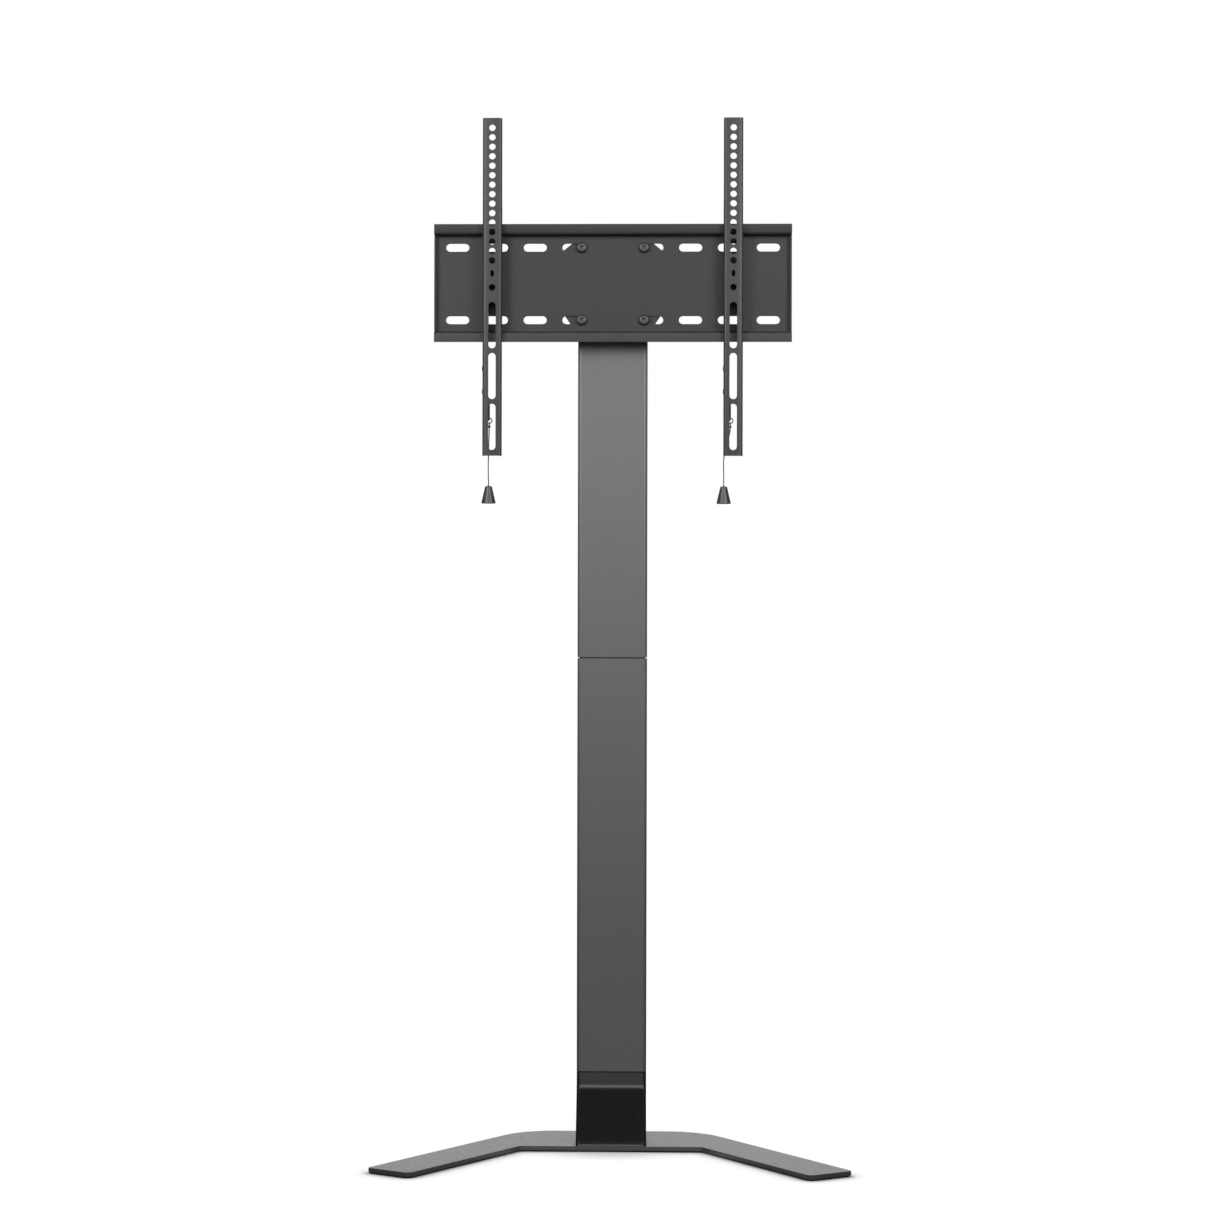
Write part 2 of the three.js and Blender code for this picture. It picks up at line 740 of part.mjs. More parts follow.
const plateBoltReach = plateSheet + panSheet + plateNutHeight + boltTail;
plateBoltPlaces.forEach(([x, z], i) => {
  const bolt = socketScrew(
    plateBoltRadius,
    plateBoltReach,
    plateBoltHead,
    plateBoltHeadHeight,
    plateBoltDome,
  );
  addPiece("plate_bolt_" + (i + 1), faceFront(bolt).translate(x, plateWebFrontY, z), blackSteel);
  const nut = hexNut(plateBoltRadius + runningGap, plateNutHalf, plateNutHeight);
  addPiece("plate_nut_" + (i + 1), faceBack(nut).translate(x, panBackY, z), zincSteel);
});

// Screen arms: U channels whose face takes the screen's screws and whose flanges hook over the rails.
const flangeDeepGap = 3; // web of the plate to the back edge of a flange, between the rails
const flangeShallowGap = 10; // the same, above and below the rails
const hookBackGap = 4;
const hookDrop = 10; // of the hook behind the top rail
const hookRoofHeight = 23; // thickness of the flange above the rail, at the hook
const hookTaperHeight = 12;
const railClearGap = 3; // along Z, round a shelf
const lowerTaperHeight = 4;
const holeRadius = 4.25;
const topHoleInset = 12.9;
const holePitch = 12.345;
const holeCount = 15;
const keySlotInset = 202.5;
const keySlotLength = 8.6;
const keySlotWidth = 4.5;
const lastHoleInset = 220.7;
const longSlotInset = 270;
const longSlotPitch = 66.2;
const longSlotCount = 3;
const longSlotLength = 60.4;
const longSlotWidth = 9.6;

const armTopZ = plateCentreZ + armRise;
const armBottomZ = armTopZ - armLength;
const armFaceY = ahead(armStandoff);
const railTopZ = plateCentreZ + railEdge;
const railBottomZ = plateCentreZ - railEdge;
const upperShelfZ = plateCentreZ + shelf;
const lowerShelfZ = plateCentreZ - shelf;
const railBackAhead = railStandoff - plateSheet;
const notchFront = railStandoff + runningGap;
const notchBack = railBackAhead - runningGap;
const sidePolygon = (corners) =>
  side(
    new THREE.Shape(corners.map(([distance, z]) => new THREE.Vector2(ahead(distance), z))),
    -armWidth / 2 - cutOverrun,
    armWidth + 2 * cutOverrun,
  );
const behind = -cutOverrun;

const armSection = foldedSection(
  [
    [-armWidth / 2 + armSheet / 2, ahead(flangeDeepGap)],
    [-armWidth / 2 + armSheet / 2, armFaceY + armSheet / 2],
    [armWidth / 2 - armSheet / 2, armFaceY + armSheet / 2],
    [armWidth / 2 - armSheet / 2, ahead(flangeDeepGap)],
  ],
  armSheet,
);
const hookTopZ = railTopZ + hookRoofHeight;
const armCuts = [
  sidePolygon([
    [hookBackGap, hookTopZ],
    [flangeShallowGap, hookTopZ + hookTaperHeight],
    [flangeShallowGap, armTopZ + cutOverrun],
    [behind, armTopZ + cutOverrun],
    [behind, hookTopZ],
  ]),
  sidePolygon([
    [behind, hookTopZ + cutOverrun],
    [hookBackGap, hookTopZ + cutOverrun],
    [hookBackGap, railTopZ - hookDrop],
    [notchBack, railTopZ - hookDrop],
    [notchBack, railTopZ + runningGap],
    [notchFront, railTopZ + runningGap],
    [notchFront, upperShelfZ - railClearGap],
    [behind, upperShelfZ - railClearGap],
  ]),
  sidePolygon([
    [behind, lowerShelfZ + railClearGap],
    [notchFront, lowerShelfZ + railClearGap],
    [notchFront, railBottomZ - railClearGap],
    [flangeShallowGap, railBottomZ - railClearGap - lowerTaperHeight],
    [flangeShallowGap, armBottomZ - cutOverrun],
    [behind, armBottomZ - cutOverrun],
  ]),
];
const faceCut = (shape) => front(shape, armFaceY + armSheet + cutOverrun, armSheet + 2 * cutOverrun);
const roundInsets = Array.from({ length: holeCount }, (_, i) => topHoleInset + i * holePitch);
const faceCuts = [
  ...[...roundInsets, lastHoleInset].map((inset) => faceCut(circle(holeRadius, 0, armTopZ - inset))),
  faceCut(slot(keySlotLength, keySlotWidth, 0, armTopZ - keySlotInset, true)),
  ...Array.from({ length: longSlotCount }, (_, i) =>
    faceCut(slot(longSlotLength, longSlotWidth, 0, armTopZ - longSlotInset - i * longSlotPitch, true))),
];

// Latch: a sheet that slides inside the left flange and hooks up behind the bottom rail.
const latchSheet = 1.5;
const latchTravel = 11;
const latchFaceGap = 0.6; // to the back of the arm's face
const latchFront = armStandoff - armSheet - latchFaceGap;
const latchBackGap = 8;
const latchHookBack = 4;
const latchHookRise = 10;
const latchHookTip = 2.5;
const latchHookDepth = 19; // below the rail
const latchTopGap = 20; // above the bottom rail's edge
const latchTongueLength = 73; // below it, to the end of the plain sheet
const latchEndDrop = 103; // below it, to the end of the pull tab
const latchX = -armWidth / 2 + armSheet + runningGap;
const latchTopZ = railBottomZ + latchTopGap;
const rivetRadius = 2;
const rivetHead = 3.6;
const rivetHeadHeight = 1;
const rivetInsetAhead = 13.7;
const upperRivetDrop = 35; // below the rail's edge
const lowerRivetDrop = 65;
const rivetDrops = [upperRivetDrop, lowerRivetDrop];
const slotClearance = 0.3;
const springHookWidth = 4.2; // of the lugs at the spring's ends
const lugDepth = 5;
const lugCentreAhead = 16;
const hangerRise = 48; // of the fixed lug above the rail's edge
const tabX = 5.9; // from the flange-side sheet to the pull tab
const tabBackGap = 12;
const tabTopDrop = 76;
const tabHoleDrop = 99;
const tabHoleRadius = 1.7;

const latchHookTopZ = railBottomZ - runningGap + latchHookRise;
const latchOutline = [
  [latchFront, latchTopZ],
  [railStandoff + 3 * runningGap, latchTopZ],
  [railStandoff + 3 * runningGap, railBottomZ - runningGap],
  [notchBack, railBottomZ - runningGap],
  [notchBack, latchHookTopZ - latchHookTip],
  [notchBack - latchHookTip, latchHookTopZ],
  [latchHookBack, latchHookTopZ - latchHookTip],
  [latchHookBack, railBottomZ - latchHookDepth + latchBackGap - latchHookBack],
  [latchBackGap, railBottomZ - latchHookDepth],
  [latchBackGap, railBottomZ - latchTongueLength - latchHookBack],
  [tabBackGap, railBottomZ - latchTongueLength - 2 * latchHookBack],
  [latchFront, railBottomZ - latchTongueLength - 2 * latchHookBack],
];
const latchPlane = (corners, x, width) =>
  side(new THREE.Shape(corners.map(([distance, z]) => new THREE.Vector2(ahead(distance), z))), x, width);
const rivetSlotLength = 2 * (rivetRadius + slotClearance) + latchTravel;
const rivetSlots = rivetDrops.map((drop) => {
  const shape = slot(
    rivetSlotLength,
    2 * (rivetRadius + slotClearance),
    ahead(rivetInsetAhead),
    railBottomZ - drop + latchTravel / 2,
    true,
  );
  return side(shape, latchX - cutOverrun, latchSheet + 2 * cutOverrun);
});
const lug = (z) =>
  box(
    latchX,
    latchX + latchSheet + springHookWidth,
    ahead(lugCentreAhead + lugDepth / 2),
    ahead(lugCentreAhead - lugDepth / 2),
    z,
    z + latchSheet,
  );
const tabCentre = latchX + latchSheet / 2 + tabX;
const tabSection = foldedSection(
  [
    [latchX + latchSheet / 2, ahead(latchFront)],
    [latchX + latchSheet / 2, ahead(tabBackGap)],
    [tabCentre, ahead(tabBackGap)],
    [tabCentre, ahead(latchFront)],
  ],
  latchSheet,
);
const tabHole = side(
  circle(tabHoleRadius, ahead(lugCentreAhead), railBottomZ - tabHoleDrop),
  tabCentre - latchSheet / 2 - cutOverrun,
  latchSheet + 2 * cutOverrun,
);
const latch = cut(
  join(
    latchPlane(latchOutline, latchX, latchSheet),
    lug(latchTopZ - latchSheet),
    plan(tabSection, railBottomZ - latchEndDrop, latchEndDrop - tabTopDrop),
  ),
  ...rivetSlots,
  tabHole,
);

// The arm's own lug above the latch holds the upper end of the spring.
const hangerZ = railBottomZ + hangerRise;
const hanger = box(
  -armWidth / 2 + armSheet / 2,
  latchX + latchSheet + springHookWidth,
  ahead(lugCentreAhead + lugDepth / 2),
  ahead(lugCentreAhead - lugDepth / 2),
  hangerZ,
  hangerZ + latchSheet,
);
const rivetHole = (z) =>
  side(
    circle(rivetRadius + runningGap, ahead(rivetInsetAhead), z),
    -armWidth / 2 - cutOverrun,
    armSheet + 2 * cutOverrun,
  );
const rivetPlaces = rivetDrops.map((drop) => railBottomZ - drop);
const arm = cut(
  join(cut(plan(armSection, armBottomZ, armLength), ...armCuts, ...faceCuts), hanger),
  ...rivetPlaces.map(rivetHole),
);
const rivetReach = armSheet + runningGap + latchSheet + runningGap;
const rivet = turned([
  [0, -rivetHeadHeight],
  [rivetHead - rivetHeadHeight / 2, -rivetHeadHeight],
  [rivetHead, 0],
  [rivetRadius, 0],
  [rivetRadius, rivetReach],
  [rivetHead, rivetReach],
  [rivetHead, rivetReach + rivetHeadHeight],
  [0, rivetReach + rivetHeadHeight],
], holeSides).rotate([0, 90, 0]);

// A round rod carried along a smooth curve through its points.
function rod(points, radius, sides, steps) {
  const path = new THREE.CatmullRomCurve3(points.map((p) => new THREE.Vector3(...p)), false, "centripetal");
  return solid(
    new THREE.ExtrudeGeometry(circle(radius, 0, 0, sides), { steps, bevelEnabled: false, extrudePath: path }),
  );
}

// Latch spring: one coil between the lug of the latch and the lug of the arm.
const springWireRadius = 0.4; // radius
const springRadius = 1.7;
const springCurls = 9;
const springStepsPerCurl = 8;
const springSides = 5;
const springEndRun = 1;
const springX = latchX + latchSheet + runningGap + springWireRadius + springRadius;
const springBottomZ = latchTopZ + runningGap;
const springTopZ = hangerZ - runningGap;
const springLeadTurns = 0.75; // over which an end spirals out from the axis
function springPoints() {
  const coilHeight = springTopZ - springBottomZ - 2 * springEndRun;
  const turns = springCurls + 2 * springLeadTurns;
  const count = Math.round(turns * springStepsPerCurl);
  const points = [[springX, ahead(lugCentreAhead), springBottomZ]];
  for (let i = 0; i <= count; i++) {
    const turn = (i / count) * turns;
    const out = Math.min(1, turn / springLeadTurns, (turns - turn) / springLeadTurns);
    const angle = 2 * Math.PI * turn;
    points.push([
      springX + springRadius * out * Math.cos(angle),
      ahead(lugCentreAhead) + springRadius * out * Math.sin(angle),
      springBottomZ + springEndRun + (coilHeight * i) / count,
    ]);
  }
  points.push([springX, ahead(lugCentreAhead), springTopZ]);
  return points;
}
const coil = springPoints();
const spring = rod(coil, springWireRadius, springSides, coil.length - 1);
const apart = (a, b) => Math.hypot(a[0] - b[0], a[1] - b[1], a[2] - b[2]);
const springSelfGap = Math.min(
  ...coil.flatMap((a, i) => coil.slice(i + springStepsPerCurl - 2).map((b) => apart(a, b))),
) - 2 * springWireRadius;
console.log("latch spring: least gap to itself " + springSelfGap.toFixed(2) + " mm");

// Pull ring through the latch's tab, and the cord and knob that hang from it.
const ringRadius = 3.4;
const ringWireRadius = 0.8; // radius
const ringWireSides = 6;
const ringZ = railBottomZ - tabHoleDrop - tabHoleRadius + ringWireRadius + runningGap - ringRadius;
const ring = solid(
  new THREE.TorusGeometry(ringRadius, ringWireRadius, ringWireSides, roundSides)
    .rotateX(Math.PI / 2)
    .translate(tabCentre, ahead(lugCentreAhead), ringZ),
);
const cordRadius = 0.75;
const cordSides = 8;
const cordSteps = 24;
const cordTopZ = ringZ - ringRadius - ringWireRadius - runningGap;
const knobDrop = 81; // top of the cord to the knob
const knobTopZ = cordTopZ - knobDrop;
const knobHeight = 22.4;
const knobTopRadius = 4.6;
const knobRadius = 9.5;
const knobEdge = 1;
const knobHollow = 6;
const knobWall = 1.6;
const knobSides = 24;

// Each route's points: sideways from the arm's middle, forward of the plate's web, and down from its top.
const leftCord = [
  [tabCentre, lugCentreAhead, 0],
  [tabCentre, lugCentreAhead, 5],
  [-3.8, 15.6, 13],
  [-4.2, 15, 23],
  [-4.5, 14.6, 35],
  [-4.8, 14.3, 47],
  [-4.9, 14.2, 57],
  [-4.7, 14.2, 68],
  [-4.5, 14.2, 75],
  [-4.5, 14.2, knobDrop - runningGap],
];
const rightCord = [
  [tabCentre, lugCentreAhead, 0],
  [tabCentre, lugCentreAhead, 5],
  [-4.4, 14.6, 12],
  [-6.2, 12.2, 20],
  [-8.2, 9.6, 28],
  [-10.3, 8.5, 36],
  [-11.7, 8.4, 44],
  [-12, 8.4, 55],
  [-11.9, 8.4, 67],
  [-11.8, 8.4, 74],
  [-11.8, 8.4, knobDrop - runningGap],
];
const knob = turned([
  [0, knobHollow - knobHeight],
  [knobRadius - 2 * knobWall, knobHollow - knobHeight],
  [knobRadius - knobWall, -knobHeight],
  [knobRadius, -knobHeight],
  [knobTopRadius, -knobEdge],
  [knobTopRadius - knobEdge, 0],
  [0, 0],
], knobSides);

[
  ["left", -armSpacing / 2, leftCord],
  ["right", armSpacing / 2, rightCord],
].forEach(([hand, x, route]) => {
  const holder = new THREE.Group();
  holder.position.x = x;
  stand.add(holder);
  addPiece("arm_" + hand, arm, mountPaint, holder);
  addPiece("latch_" + hand, latch, mountPaint, holder);
  addPiece("latch_spring_" + hand, spring, zincSteel, holder);
  rivetPlaces.forEach((z, i) => {
    const placed = rivet.translate(-armWidth / 2, ahead(rivetInsetAhead), z);
    addPiece("latch_rivet_" + hand + "_" + (i + 1), placed, zincSteel, holder);
  });
  addPiece("pull_ring_" + hand, ring, blackSteel, holder);
  const routed = route.map(([across, distance, drop]) => [across, ahead(distance), cordTopZ - drop]);
  addPiece("pull_cord_" + hand, rod(routed, cordRadius, cordSides, cordSteps), cordFibre, holder);
  const [knobX, knobY] = routed[routed.length - 1];
  addPiece("pull_knob_" + hand, knob.translate(knobX, knobY, knobTopZ), blackPlastic, holder);
});

export default stand;
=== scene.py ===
# Floor stand with a two-armed mount: the finish of its pieces, its cords, the camera and the studio.
# Metres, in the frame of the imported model: the front faces -Y and the floor is Z = 0.
import math

import bmesh
import bpy
import numpy as np
from mathutils import Matrix, Vector
from mathutils.geometry import tessellate_polygon


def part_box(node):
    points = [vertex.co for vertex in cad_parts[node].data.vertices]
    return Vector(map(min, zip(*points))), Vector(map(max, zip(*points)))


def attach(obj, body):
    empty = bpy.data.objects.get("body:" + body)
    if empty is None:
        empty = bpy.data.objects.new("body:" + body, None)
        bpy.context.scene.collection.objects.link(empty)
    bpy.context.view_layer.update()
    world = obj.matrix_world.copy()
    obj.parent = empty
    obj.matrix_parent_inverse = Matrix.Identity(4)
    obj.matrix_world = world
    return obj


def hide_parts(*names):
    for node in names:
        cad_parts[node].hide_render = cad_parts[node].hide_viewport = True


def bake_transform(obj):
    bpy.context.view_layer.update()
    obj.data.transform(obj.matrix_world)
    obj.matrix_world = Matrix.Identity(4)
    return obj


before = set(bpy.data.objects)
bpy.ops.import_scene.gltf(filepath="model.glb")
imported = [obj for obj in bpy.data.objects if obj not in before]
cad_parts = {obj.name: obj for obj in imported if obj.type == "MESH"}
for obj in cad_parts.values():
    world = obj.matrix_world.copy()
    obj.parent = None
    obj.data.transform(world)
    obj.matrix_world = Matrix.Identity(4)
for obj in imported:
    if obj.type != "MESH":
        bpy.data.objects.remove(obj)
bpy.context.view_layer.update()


# Camera: level, 0.7 m up and four metres in front of the foot, with a long lens. It stands a
# little to the right and is turned further left, and a sideways shift of the lens brings the
# stand back to its place in the picture. It is rolled by an eighth of a degree.
IMAGE_SIDE = 1228
FOCAL_PIXELS = 3077
SENSOR_MM = 36.0
FAR_CLIP = 100
CAMERA_DISTANCE = 4.0
CAMERA_RISE = 0.692
CAMERA_BEARING = math.radians(0.6)
CAMERA_YAW = math.radians(1.5)
CAMERA_ROLL = -0.0021
CAMERA_SIDE = 0.0027
BAR_DEPTH = 0.1205

base_low, base_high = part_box("base_plate")
bar_back, bar_front = base_high.y, base_high.y - BAR_DEPTH
camera_data = bpy.data.cameras.new("camera")
camera_data.sensor_width = SENSOR_MM
camera_data.lens = SENSOR_MM * FOCAL_PIXELS / IMAGE_SIDE
camera_data.clip_end = FAR_CLIP
camera_data.shift_x = FOCAL_PIXELS / IMAGE_SIDE * math.tan(CAMERA_YAW - CAMERA_BEARING)
camera = bpy.data.objects.new("camera", camera_data)
bpy.context.collection.objects.link(camera)
turn = Matrix.Rotation(CAMERA_BEARING, 4, "Z")
stand_point = turn @ Vector((CAMERA_SIDE, -CAMERA_DISTANCE, 0))
camera.location = (stand_point.x, stand_point.y + bar_front, base_high.z + CAMERA_RISE)
camera.rotation_euler = (math.pi / 2, CAMERA_ROLL, CAMERA_YAW)
bpy.context.scene.camera = camera
bpy.context.scene.view_settings.view_transform = "Standard"


# Floor: a white studio floor that shows only the shadow close to the foot. Further out it is
# clear, so the white room behind it is seen instead. It isn't part of the product.
class Value:
    """A shader socket that takes part in Python sums."""

    def __init__(self, tree, socket):
        self.tree = tree
        self.socket = socket

    def _math(self, operation, other, swap=False):
        pair = (other, self) if swap else (self, other)
        return node(self.tree, "ShaderNodeMath", {"operation": operation}, {0: pair[0], 1: pair[1]})

    def __add__(self, other):
        return self._math("ADD", other)

    def __mul__(self, other):
        return self._math("MULTIPLY", other)

    def __sub__(self, other):
        return self._math("SUBTRACT", other)

    def __rsub__(self, other):
        return self._math("SUBTRACT", other, swap=True)

    __radd__ = __add__
    __rmul__ = __mul__


def node(tree, kind, settings=(), inputs=(), output=0):
    """Adds a shader node, its settings first and then the values or links of its sockets."""
    made = tree.nodes.new(kind)
    for name, value in dict(settings).items():
        setattr(made, name, value)
    for name, value in dict(inputs).items():
        if isinstance(value, Value):
            tree.links.new(value.socket, made.inputs[name])
        else:
            made.inputs[name].default_value = value
    return Value(tree, made.outputs[output]) if made.outputs else None


def new_tree(owner):
    """The emptied node tree of a material or world."""
    owner.use_nodes = True
    owner.node_tree.nodes.clear()
    return owner.node_tree


FLOOR_HALF = 4.0
FLOOR_CLEAR = (0.75, 1.5)  # from the middle, where the floor fades out
FLOOR_WHITE = 0.49
FLOOR_GLOW = 0.55
FLOOR_BOUNCE = 0.15  # what the floor gives back to the object
FLOOR_MIRROR = 0.15  # how much of it the paint mirrors beside the strip in front
FRONT_STRIP = (0.17, 0.11)  # from where to where, beside the middle, it gets to all of it
SHADOW_REACH, SHADOW_DEPTH, SHADOW_RAYS = 0.08, 7.0, 16


def smooth(value, low, high, to_low=0.0, to_high=1.0):
    """A smooth step of a value between two limits, which may fall as well as rise."""
    limits = {"Value": value, "From Min": low, "From Max": high, "To Min": to_low, "To Max": to_high}
    return node(value.tree, "ShaderNodeMapRange", {"interpolation_type": "SMOOTHSTEP"}, limits)


def rays(tree):
    """One for a camera ray, and one for a glossy or transmission ray."""
    kinds = node(tree, "ShaderNodeLightPath").socket.node.outputs
    mirror_ray = Value(tree, kinds["Is Glossy Ray"]) + Value(tree, kinds["Is Transmission Ray"])
    return Value(tree, kinds["Is Camera Ray"]), mirror_ray


def outputs(value):
    """All the outputs of the node that a value comes from."""
    return [Value(value.tree, socket) for socket in value.socket.node.outputs]


floor_mesh = bpy.data.meshes.new("floor")
floor_mesh.from_pydata(
    [(x * FLOOR_HALF, y * FLOOR_HALF, 0) for x, y in ((-1, -1), (1, -1), (1, 1), (-1, 1))], [], [(0, 1, 2, 3)]
)
floor = bpy.data.objects.new("floor", floor_mesh)
bpy.context.collection.objects.link(floor)
floor_material = bpy.data.materials.new("floor")
tree = new_tree(floor_material)
place = node(tree, "ShaderNodeTexCoord", output="Object")
reach = node(tree, "ShaderNodeVectorMath", {"operation": "LENGTH"}, {0: place}, output="Value")
beside = node(tree, "ShaderNodeSeparateXYZ", {}, {0: place})
beside = node(tree, "ShaderNodeMath", {"operation": "ABSOLUTE"}, {0: beside})
camera_ray, mirror_ray = rays(tree)
shown = camera_ray + mirror_ray * smooth(beside, *FRONT_STRIP, FLOOR_MIRROR, 1.0)
open_sky = node(
    tree, "ShaderNodeAmbientOcclusion", {"samples": SHADOW_RAYS}, {"Distance": SHADOW_REACH}, output="AO"
)
deep = node(tree, "ShaderNodeMath", {"operation": "POWER"}, {0: open_sky, 1: SHADOW_DEPTH})
glow = node(tree, "ShaderNodeEmission", {}, {"Color": (1, 1, 1, 1), "Strength": shown * deep * FLOOR_GLOW})
white = node(tree, "ShaderNodeBsdfDiffuse", {}, {"Color": (FLOOR_WHITE, FLOOR_WHITE, FLOOR_WHITE, 1)})
grey = node(tree, "ShaderNodeBsdfDiffuse", {}, {"Color": (FLOOR_BOUNCE, FLOOR_BOUNCE, FLOOR_BOUNCE, 1)})
bright = node(tree, "ShaderNodeAddShader", {}, {0: glow, 1: white})
lit = node(tree, "ShaderNodeMixShader", {}, {0: shown, 1: grey, 2: bright})
open_air = node(tree, "ShaderNodeBsdfTransparent", {}, {"Color": (1, 1, 1, 1)})
surface = node(tree, "ShaderNodeMixShader", {}, {0: smooth(reach, *FLOOR_CLEAR), 1: lit, 2: open_air})
node(tree, "ShaderNodeOutputMaterial", {}, {"Surface": surface})
floor_mesh.materials.append(floor_material)


# Studio: the camera sees plain white all round. Paint and plating mirror a white wall behind, a
# softer one in front with a brighter band, and a dark remainder; a ceiling gives the even light.
AMBIENT, CEILING, CEILING_RISE = 0.15, 1.5, (0.45, 0.8)
DARK_STUDIO = 0.03
BACK_WALL, BACK_SIDE, BACK_RISE = (0.0, 0.1), (0.6, 0.35), (0.6, 0.35)
FRONT_WALL, FRONT_SIDE, FRONT_TOP = (0.0, -0.3), (0.8, 0.5), (0.6, 0.42)
FRONT_FILL, FILL_RISE = 0.9, (-0.35, 0.1)
HIGH_BAND, BAND_RISE, BAND_SIDE = 4.6, (0.15, 0.35), (0.3, 0.15)
world = bpy.data.worlds.new("studio")
bpy.context.scene.world = world
tree = new_tree(world)
direction = node(tree, "ShaderNodeTexCoord", output="Generated")
x, y, z = outputs(node(tree, "ShaderNodeSeparateXYZ", {}, {0: direction}))
aside = node(tree, "ShaderNodeMath", {"operation": "ABSOLUTE"}, {0: x})
rise = node(tree, "ShaderNodeMath", {"operation": "ABSOLUTE"}, {0: z})
back = smooth(y, *BACK_WALL) * smooth(aside, *BACK_SIDE) * smooth(rise, *BACK_RISE)
band = smooth(z, *BAND_RISE, 0.0, HIGH_BAND) * smooth(aside, *BAND_SIDE)
level = smooth(z, *FILL_RISE, 0.0, FRONT_FILL) + band
front = level * smooth(y, *FRONT_WALL) * smooth(aside, *FRONT_SIDE) * smooth(z, *FRONT_TOP)
camera_ray, mirror_ray = rays(tree)
strength = camera_ray + (1 - camera_ray) * ((back + front) * (1 - DARK_STUDIO) + DARK_STUDIO)
seen = node(tree, "ShaderNodeBackground", {}, {"Color": (1, 1, 1, 1), "Strength": strength})
overhead = smooth(z, *CEILING_RISE, AMBIENT, CEILING)
ambient = node(tree, "ShaderNodeBackground", {}, {"Color": (1, 1, 1, 1), "Strength": overhead})
both = node(tree, "ShaderNodeMixShader", {}, {0: camera_ray + mirror_ray, 1: ambient, 2: seen})
node(tree, "ShaderNodeOutputWorld", {}, {"Surface": both})


# Lamps: two tall soft boxes in front, left and right, above the stand's middle.
LAMP_AIM = (0, 0.05, 1.2)
LAMP_SPOTS = {"lamp_left": (-1.15, -1.5, 1.6), "lamp_right": (1.15, -1.5, 1.6)}
LAMP_SIZE = (0.7, 0.9)
LAMP_POWER = 4.8
LAMP_SPREAD = math.radians(60)
for name, spot in LAMP_SPOTS.items():
    light = bpy.data.lights.new(name, "AREA")
    light.shape = "RECTANGLE"
    light.size, light.size_y = LAMP_SIZE
    light.energy = LAMP_POWER
    light.spread = LAMP_SPREAD
    lamp = bpy.data.objects.new(name, light)
    bpy.context.collection.objects.link(lamp)
    lamp.location = spot
    lamp.rotation_euler = (Vector(LAMP_AIM) - Vector(spot)).to_track_quat("-Z", "Y").to_euler()


# Base plate: a 6 mm steel plate cut as a bar with a splayed leg at each end, its edges rubbed
# round before a coarse dark grey powder coat. Four bolts pass it from below, in countersunk holes.
BASE_GREY = (0.062, 0.0625, 0.063, 1)
BASE_EDGE = 0.0007
BEND_X, LEG_ANGLE, LEG_LENGTH, LEG_WIDTH = 0.118, math.radians(57), 0.238, 0.0659
TIP_FRONT, TIP_END, INNER_BEND, OUTER_BEND = 0.010, 0.005, 0.008, 0.080
BEND_STEPS, BORE_SIDES = 16, 24
SINK_GAP, SINK_DEPTH, BORE_RADIUS = 0.0003, 0.0042, 0.0043
QUARTER = np.radians([0, 30, 60, 90])
PEEL_SHARE, CLOUD_SCALE, ROUGHNESS_SPREAD = 0.22, 9.0, 0.12
FINE_FLECK, CLOUD_FLECK, FINE_HEIGHT = 1.4, 0.6, 0.6
FACE_WEIGHT = 100


def toned(tree, color, tone):
    """A colour times a tone that changes over the surface."""
    tones = node(tree, "ShaderNodeCombineColor", {}, {0: tone, 1: tone, 2: tone})
    return node(
        tree,
        "ShaderNodeMix",
        {"data_type": "RGBA", "blend_type": "MULTIPLY"},
        {0: 1.0, 6: color, 7: tones},
        output=2,
    )


def finish(tree, color, roughness, height, depth, others=()):
    """The closing nodes of a material whose height, times the depth in metres, is its relief."""
    bump = node(tree, "ShaderNodeBump", {}, {"Strength": 1.0, "Distance": depth, "Height": height})
    surface = {"Base Color": color, "Roughness": roughness, "Normal": bump, **dict(others)}
    shader = node(tree, "ShaderNodeBsdfPrincipled", {}, surface)
    node(tree, "ShaderNodeOutputMaterial", {}, {"Surface": shader})


def powder_coat(name, color, roughness, grain, depth, fleck, ior=1.5):
    """Baked powder: a fine grain of the given size and depth in metres, a slower orange peel,
    and flecks that lighten and darken the colour by a share."""
    made = bpy.data.materials.new(name)
    tree = new_tree(made)
    at = node(tree, "ShaderNodeTexCoord", output="Object")
    fine_noise = {"Vector": at, "Scale": 1 / grain, "Detail": 2.0, "Roughness": 0.6}
    fine = node(tree, "ShaderNodeTexNoise", {}, fine_noise)
    peel = node(tree, "ShaderNodeTexNoise", {}, {"Vector": at, "Scale": PEEL_SHARE / grain, "Detail": 1.0})
    cloud = node(tree, "ShaderNodeTexNoise", {}, {"Vector": at, "Scale": CLOUD_SCALE, "Detail": 2.0})
    tone = 1 - fleck + fine * (FINE_FLECK * fleck) + cloud * (CLOUD_FLECK * fleck)
    rough = roughness - ROUGHNESS_SPREAD / 2 + peel * ROUGHNESS_SPREAD
    finish(tree, toned(tree, color, tone), rough, fine * FINE_HEIGHT + peel, depth, {"IOR": ior})
    return made


